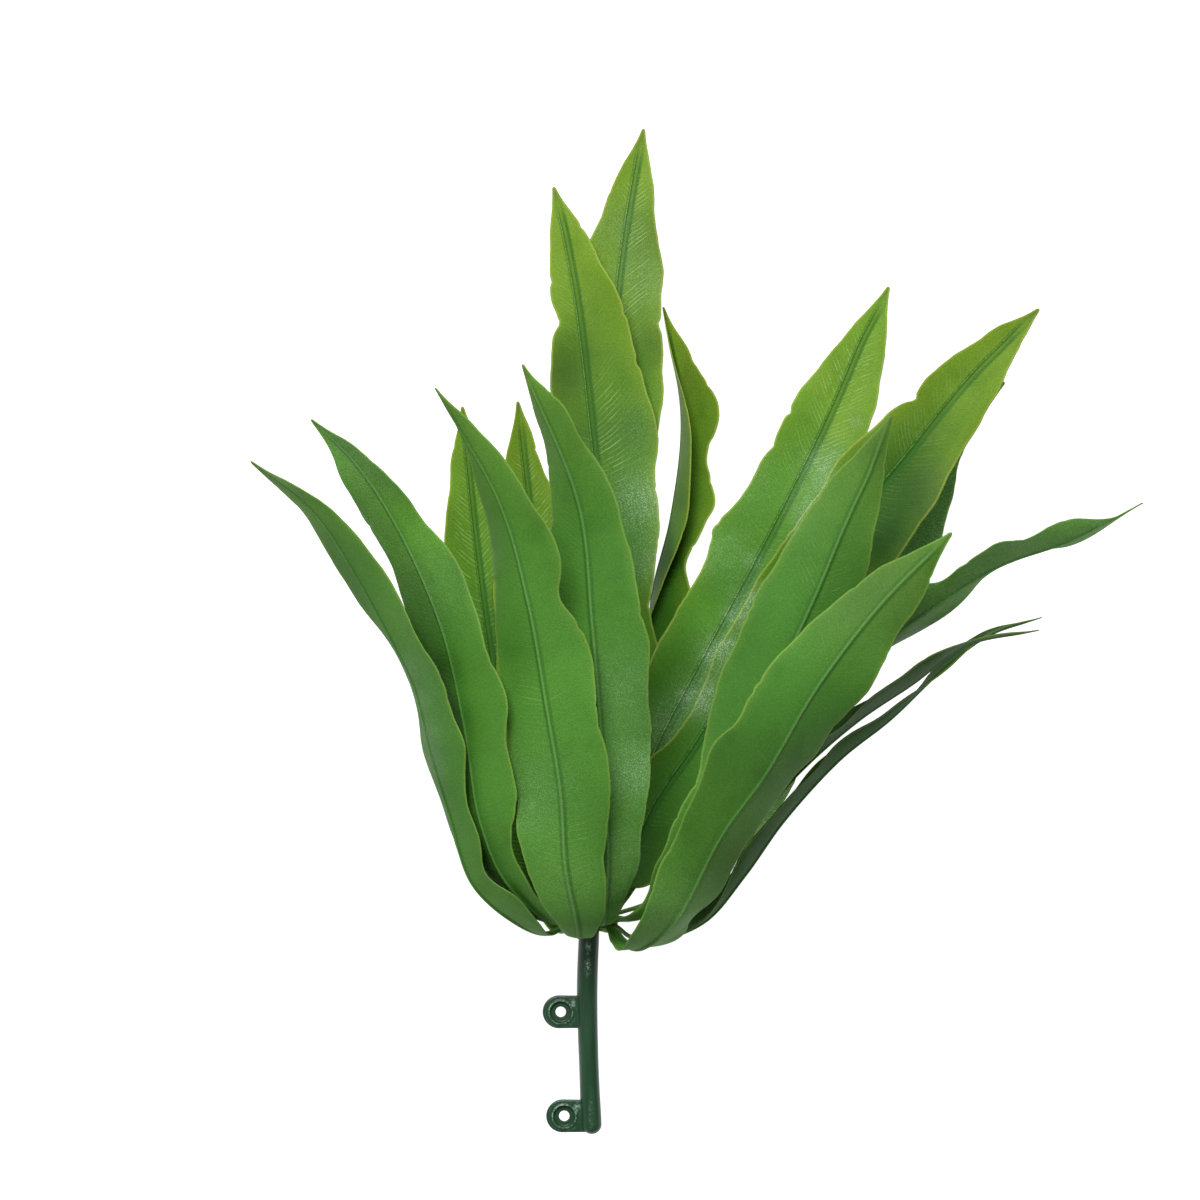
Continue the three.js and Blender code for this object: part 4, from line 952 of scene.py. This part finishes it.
def band_faces(rows, sides, closed=False):
    """Faces between rows of points that run round once. A closed band joins its last row to its first."""
    faces = []
    for i in range(rows if closed else rows - 1):
        row = i * sides
        above = (i + 1) % rows * sides
        for j in range(sides):
            k = (j + 1) % sides
            faces.append((row + j, row + k, above + k, above + j))
    return faces


def blade_faces(rows, columns):
    """Faces round the blade and over its two ends."""
    around = 2 * columns + 2
    faces = band_faces(rows, around)
    last = (rows - 1) * around
    for j in range(columns - 1):
        k = 2 * columns - j
        faces.append((j + 1, j, k, k - 1))
        faces.append((last + j, last + j + 1, last + k - 1, last + k))
    for row, order in ((0, 1), (last, -1)):
        right_cap = (row + columns - 1, row + columns + 1, row + columns)
        left_cap = (row, row + around - 1, row + 2 * columns)
        faces.append(right_cap[::order])
        faces.append(left_cap[::order])
    return faces


def mesh_from(name, points, faces):
    """A mesh from points set out from the hub."""
    mesh = bpy.data.meshes.new(name)
    mesh.from_pydata(in_metres(points).tolist(), [], faces)
    return mesh


def frond_mesh(name, frond):
    """One frond as a closed mesh, with what its material reads."""
    blade = Blade(name, frond)
    loops = blade.loops()
    mesh = mesh_from(name, loops.reshape(-1, 3), blade_faces(*blade.across.shape))
    mesh.validate()
    for title, values in blade.layers(loops).items():
        layer = mesh.attributes.new(title, "FLOAT_VECTOR", "POINT")
        layer.data.foreach_set("vector", values.reshape(-1).astype(np.float32))
    mesh.shade_smooth()
    mesh.update()
    return mesh


def add_piece(name, mesh, material, node):
    piece = set_out(name, mesh)
    mesh.materials.append(material)
    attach(piece, "root")
    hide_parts(node)


def make_fronds():
    for name, frond in FRONDS.items():
        material = BACK_LEAF if "_back_" in name else FRONT_LEAF
        add_piece(f"{name}_blade", frond_mesh(name, frond), material, name)


make_fronds()


# Stem and rings

# At each distance below the shoulder: how far the axis stands to the right of the hub, and the radius
STEM_LINE = [
    (0.0, -0.3, 4.1), (12.0, -0.9, 4.15), (24.0, -1.2, 4.15), (34.0, -1.0, 4.0), (44.0, -0.8, 4.0),
    (55.0, -0.4, 3.9), (66.0, 0.0, 4.05), (STEM_LENGTH - STEM_RADIUS, 0.7, 4.1),
]
STEM_SIDES = 128
STEM_STEPS = 120
STEM_EASING = 4.0
SHOULDER_ROUNDING = 0.35
SHOULDER_TURN = 1.4
LOWER_END_LEAN = 0.03
PEG_RADIUS = 2.0
PEG_SIDES = 48
PEG_HEAD_RADIUS = 3.6
PEG_HEAD_HEIGHT = 2.2
EYELETS = ((-11.7, -32.7), (-10.3, -74.3))
EYELET_RADIUS = 6.6
# How far the middle of the tab's round end stands to the left of the hole
EYELET_OFF_CENTRE = 0.7
EYELET_HOLE_RADIUS = 2.1
EYELET_THICKNESS = 3.2
EYELET_CROWN = 0.35
EYELET_CORNER = 0.3
EYELET_RECESS_RADIUS = 3.95
EYELET_RECESS_DEPTH = 0.9
EYELET_RIM_RADIUS = 4.95
EYELET_RIM_HEIGHT = 0.55
EYELET_SIDES = 72
# Past the faces, so that a cutter goes right through
CUT_PAST = 1
FUSE_SIZE = 0.22
FUSE_SMOOTHING = (4, 5)
RING_CORNER = 0.3
RING_SIDES = 64
# Painted highlights on the stem: place to the right of the hub and above it, reach both ways, strength
STEM_PAINTED_HIGHLIGHTS = (
    (-0.7, -6.5, 0.7, 2.4, 1.6), (-0.9, -14, 0.9, 2.8, 0.9), (-6.9, -29.4, 1, 1.6, 0.7),
    (0.4, -73, 0.8, 6, 0.2), (-5.1, -70.9, 1, 1.8, 0.7),
)
# Painted highlights in rings on the eyelets, at the rim and near the edge of the tab: radius and strength
RIM_PAINTED_HIGHLIGHTS = ((EYELET_RIM_RADIUS - 0.2, 0.7), (EYELET_RADIUS - 0.35, 0.12))
RIM_HIGHLIGHT_REACH = 0.22


def outward(mesh):
    """The same mesh with every face looking out."""
    shape = bmesh.new()
    shape.from_mesh(mesh)
    bmesh.ops.recalc_face_normals(shape, faces=shape.faces)
    shape.to_mesh(mesh)
    shape.free()
    return mesh


def tube_mesh(name, rings, right, up, sides):
    """A closed mesh through round rings, each given by its centre and radius. right and up span the rings."""
    turn = np.linspace(0, 2 * np.pi, sides, endpoint=False)
    points = []
    for centre, radius in rings:
        around = np.outer(np.cos(turn) * radius, right) + np.outer(np.sin(turn) * radius, up)
        points.append(np.asarray(centre) + around)
    last = (len(rings) - 1) * sides
    faces = band_faces(len(rings), sides)
    faces.append(tuple(reversed(range(sides))))
    faces.append(tuple(range(last, last + sides)))
    return outward(mesh_from(name, np.concatenate(points), faces))


def turned_mesh(name, profile, place, direction, sides):
    """A solid of revolution round a line through a place. The profile lists distance along it and radius."""
    direction = Vector(direction)
    right = direction.orthogonal().normalized()
    rings = [(Vector(place) + direction * level, radius) for level, radius in profile]
    return tube_mesh(name, rings, right, direction.cross(right), sides)


def stem_shaft():
    """The bent round shaft, with a rounded lower end and a small shoulder at the top."""
    below, shift, radius = (np.array(column) for column in zip(*STEM_LINE))
    level = np.linspace(0, STEM_LENGTH - STEM_RADIUS, STEM_STEPS)
    near = bell(level[:, None], level[None, :], STEM_EASING)
    centre = near @ np.interp(level, below, shift) / near.sum(axis=1)
    thick = near @ np.interp(level, below, radius) / near.sum(axis=1)
    rings = []
    for turn in np.linspace(0.25, SHOULDER_TURN, 5):
        drop = SHOULDER_ROUNDING * (1 - turn / SHOULDER_TURN)
        radius = thick[0] - SHOULDER_ROUNDING + SHOULDER_ROUNDING * math.sin(turn)
        rings.append(((centre[0], STEM_SHOULDER - drop, 0), radius))
    for x, drop, radius in zip(centre, level, thick):
        rings.append(((x, STEM_SHOULDER - drop - SHOULDER_ROUNDING, 0), radius))
    for turn in np.linspace(0.1, 1.5, 14):
        drop = STEM_RADIUS * math.sin(turn)
        place = (centre[-1] + LOWER_END_LEAN * drop, STEM_SHOULDER - level[-1] - drop, 0)
        rings.append((place, thick[-1] * math.cos(turn)))
    return tube_mesh("shaft", rings, (1, 0, 0), (0, 0, 1), STEM_SIDES)


def slab_mesh(name, outline, crown):
    """A flat tab with softly domed edges: the outline is drawn in towards both faces."""
    outline = np.asarray(outline)
    middle = outline.mean(axis=0)
    half = EYELET_THICKNESS / 2
    corner = half - EYELET_CORNER
    layers = []
    for level, inset in ((-half, crown), (-corner, 0.12), (0, 0), (corner, 0.12), (half, crown)):
        away = outline - middle
        size = np.linalg.norm(away, axis=1, keepdims=True)
        flat = middle + away * (1 - inset / size)
        layers.append(np.column_stack([flat, np.full(len(flat), level)]))
    count = len(outline)
    last = (len(layers) - 1) * count
    ends = [tuple(reversed(range(count))), tuple(range(last, last + count))]
    return outward(mesh_from(name, np.concatenate(layers), ends + band_faces(len(layers), count)))


def eyelet_tab(place):
    """Round at its free end, and running into the stem."""
    x, y = place
    turn = np.linspace(np.pi / 2, 1.5 * np.pi, 40)
    round_x = x - EYELET_OFF_CENTRE + EYELET_RADIUS * np.cos(turn)
    free_end = np.column_stack([round_x, y + EYELET_RADIUS * np.sin(turn)])
    root = [(x + 4, y - EYELET_RADIUS + 0.1), (0, y - EYELET_RADIUS + 0.2), (0, y + EYELET_RADIUS - 0.2),
            (x + 4, y + EYELET_RADIUS - 0.1)]
    return slab_mesh("tab", np.concatenate([free_end, root]), EYELET_CROWN)


def eyelet_steps(place):
    """What one eyelet is fused from, and what is cut out of it."""
    rim_top = EYELET_THICKNESS / 2 + EYELET_RIM_HEIGHT
    corner = rim_top - EYELET_CORNER
    floor = EYELET_THICKNESS / 2 - EYELET_RECESS_DEPTH
    rim = [(-rim_top, EYELET_RIM_RADIUS - EYELET_CROWN), (-corner, EYELET_RIM_RADIUS),
           (corner, EYELET_RIM_RADIUS), (rim_top, EYELET_RIM_RADIUS - EYELET_CROWN)]
    hole = [(-rim_top - CUT_PAST, EYELET_HOLE_RADIUS), (rim_top + CUT_PAST, EYELET_HOLE_RADIUS)]
    cuts = []
    for way in (-1, 1):
        cuts.append([(way * floor, EYELET_RECESS_RADIUS),
                     (way * (rim_top + CUT_PAST), EYELET_RECESS_RADIUS + 0.5)])
    rim, *cuts = (turned_mesh("turned", profile, (*place, 0), (0, 0, 1), EYELET_SIDES)
                  for profile in (rim, *cuts, hole))
    return [eyelet_tab(place), rim], cuts


def peg_mesh():
    """The peg that carries the rings, with its spread head."""
    head = STEM_SHOULDER + CLEARANCE + 2 * RING_PITCH + RING_HEIGHT + CLEARANCE
    profile = [(-STEM_RADIUS, PEG_RADIUS), (head, PEG_RADIUS), (head + 0.01, PEG_HEAD_RADIUS - 0.15),
               (head + 0.3, PEG_HEAD_RADIUS), (head + 1.2, PEG_HEAD_RADIUS * 0.93),
               (head + 1.9, PEG_HEAD_RADIUS * 0.7), (head + PEG_HEAD_HEIGHT, PEG_HEAD_RADIUS * 0.35)]
    return turned_mesh("peg", profile, (0, 0, 0), (0, 1, 0), PEG_SIDES)


def cut_or_join(target, tools, operation):
    for tool in tools:
        step = target.modifiers.new(operation.lower(), "BOOLEAN")
        step.operation = operation
        step.solver = "EXACT"
        step.object = tool


def evaluated_mesh(piece):
    """The mesh of an object with its modifiers applied."""
    return bpy.data.meshes.new_from_object(piece.evaluated_get(bpy.context.evaluated_depsgraph_get()))


def fused_stem():
    """Shaft, tabs, rims and peg fused into one moulding with soft inner corners, and pierced."""
    parts = []
    cuts = []
    for place in EYELETS:
        eyelet_parts, eyelet_cuts = eyelet_steps(place)
        parts += eyelet_parts
        cuts += eyelet_cuts
    body = set_out("stem_steps", stem_shaft())
    tools = [set_out("part", mesh) for mesh in (*parts, peg_mesh())]
    cutters = [set_out("cut", mesh) for mesh in cuts]
    cut_or_join(body, tools, "UNION")
    cut_or_join(body, cutters, "DIFFERENCE")
    sharp = set_out("sharp", evaluated_mesh(body))
    moulding = set_out("moulding", sharp.data.copy())
    fuse = moulding.modifiers.new("fuse", "REMESH")
    fuse.mode = "VOXEL"
    fuse.voxel_size = FUSE_SIZE * MM
    for iterations in FUSE_SMOOTHING:
        soften = moulding.modifiers.new("soften", "SMOOTH")
        soften.factor = 0.5
        soften.iterations = iterations
        if iterations == FUSE_SMOOTHING[0]:
            moulding.modifiers.new("settle", "SHRINKWRAP").target = sharp
    mesh = evaluated_mesh(moulding)
    for step in [body, sharp, moulding, *tools, *cutters]:
        bpy.data.objects.remove(step)
    return mesh


def stem_mesh():
    """The stem with the painted highlights that its material reads, which lie on the side towards the camera.
    """
    mesh = fused_stem()
    mesh.name = "stem_moulding"
    places = np.array([vertex.co for vertex in mesh.vertices]) / MM - HUB
    painted_highlight = np.zeros(len(places))
    for x, y, reach_x, reach_y, amount in STEM_PAINTED_HIGHLIGHTS:
        away = ((places[:, 0] - x) / reach_x) ** 2 + ((places[:, 1] - y) / reach_y) ** 2
        painted_highlight += amount * np.exp(-away) * (places[:, 2] > 0)
    for x, y in EYELETS:
        away = np.hypot(places[:, 0] - x, places[:, 1] - y)
        for radius, amount in RIM_PAINTED_HIGHLIGHTS:
            painted_highlight += amount * bell(away, radius, RIM_HIGHLIGHT_REACH) * (places[:, 2] > 0)
    layer = mesh.attributes.new("painted_highlight", "FLOAT", "POINT")
    layer.data.foreach_set("value", np.clip(painted_highlight, 0, 1).astype(np.float32))
    mesh.shade_smooth()
    return mesh


def ring_mesh(name, whorl):
    """A ring with rounded outer edges, threaded on the peg."""
    bottom = STEM_SHOULDER + CLEARANCE + whorl * RING_PITCH
    top = bottom + RING_HEIGHT
    bore = PEG_RADIUS + CLEARANCE
    flat = RING_RADIUS - RING_CORNER
    slope = RING_CORNER * 0.3
    section = [(bottom, bore), (bottom, flat), (bottom + slope, RING_RADIUS - slope),
               (bottom + RING_CORNER, RING_RADIUS), (top - RING_CORNER, RING_RADIUS),
               (top - slope, RING_RADIUS - slope), (top, flat), (top, bore)]
    turn = np.linspace(0, 2 * np.pi, RING_SIDES, endpoint=False)
    points = [(r * math.sin(t), level, r * math.cos(t)) for level, r in section for t in turn]
    mesh = mesh_from(name, points, band_faces(len(section), RING_SIDES, closed=True))
    mesh.shade_smooth()
    return outward(mesh)


def make_stem():
    add_piece("stem_moulding", stem_mesh(), STEM_GREEN, "stem")
    for whorl, level in enumerate(("lower", "middle", "upper")):
        name = f"whorl_ring_{level}"
        add_piece(f"{name}_moulding", ring_mesh(name, whorl), RING_GREEN, name)


make_stem()


# Table and light

TABLE_REACH = 3.0
TABLE_GREY = (0.3, 0.3, 0.3, 1)
TABLE_GLOW = 0.95
WHITE = (1, 1, 1, 1)
# Brightness of the walls, from the dim side to the bright side, and of the ceiling
WALLS = (0.25, 0.9)
CEILING = 0.35
KEY_POWER = 39.0
KEY_PLACE = (-0.25, 0.85, 1.45)
KEY_SIZE = 0.8
KEY_AIM = Vector((0.0, 0.0, 0.05))


def make_table():
    """A table top that glows, as a light table does, so that it shows next to no shadows."""
    mesh = bpy.data.meshes.new("table_top")
    corners = [(x * TABLE_REACH, y * TABLE_REACH, 0) for x, y in ((-1, -1), (1, -1), (1, 1), (-1, 1))]
    mesh.from_pydata(corners, [], [(0, 1, 2, 3)])
    material, wiring = new_material("light_table")
    skin = wiring.node("ShaderNodeBsdfPrincipled", Base_Color=TABLE_GREY, Roughness=0.8,
                       Emission_Color=WHITE, Emission_Strength=TABLE_GLOW)
    wiring.node("ShaderNodeOutputMaterial", Surface=skin.outputs[0])
    mesh.materials.append(material)
    set_out("table_top", mesh)


def make_key_light():
    """A square soft light that faces the middle of the pick."""
    data = bpy.data.lights.new("key", "AREA")
    data.shape = "SQUARE"
    data.size = KEY_SIZE
    data.energy = KEY_POWER
    light = set_out("key", data)
    light.location = KEY_PLACE
    light.rotation_euler = (KEY_AIM - Vector(KEY_PLACE)).to_track_quat("-Z", "Y").to_euler()


def make_studio():
    """A room that is bright at the top and left of the picture and dim at the right, with one soft box."""
    world = bpy.data.worlds.new("studio")
    bpy.context.scene.world = world
    world.use_nodes = True
    wiring = Wiring(world.node_tree)
    way = wiring.node("ShaderNodeTexCoord").outputs["Generated"]
    parts = wiring.node("ShaderNodeSeparateXYZ", Vector=way).outputs
    lean = wiring.scaled(parts["X"], -0.6, wiring.times(parts["Y"], 0.8))
    wall = wiring.ramp(lean, -0.9, 0.9, *WALLS)
    high = wiring.ramp(parts["Z"], 0.25, 0.95)
    background = wiring.tree.nodes["Background"]
    wiring.feed(background.inputs["Color"], WHITE)
    wiring.feed(background.inputs["Strength"], wiring.scaled(high, wiring.minus(CEILING, wall), wall))
    make_key_light()
    bpy.context.scene.view_settings.view_transform = "Standard"


make_table()
make_studio()
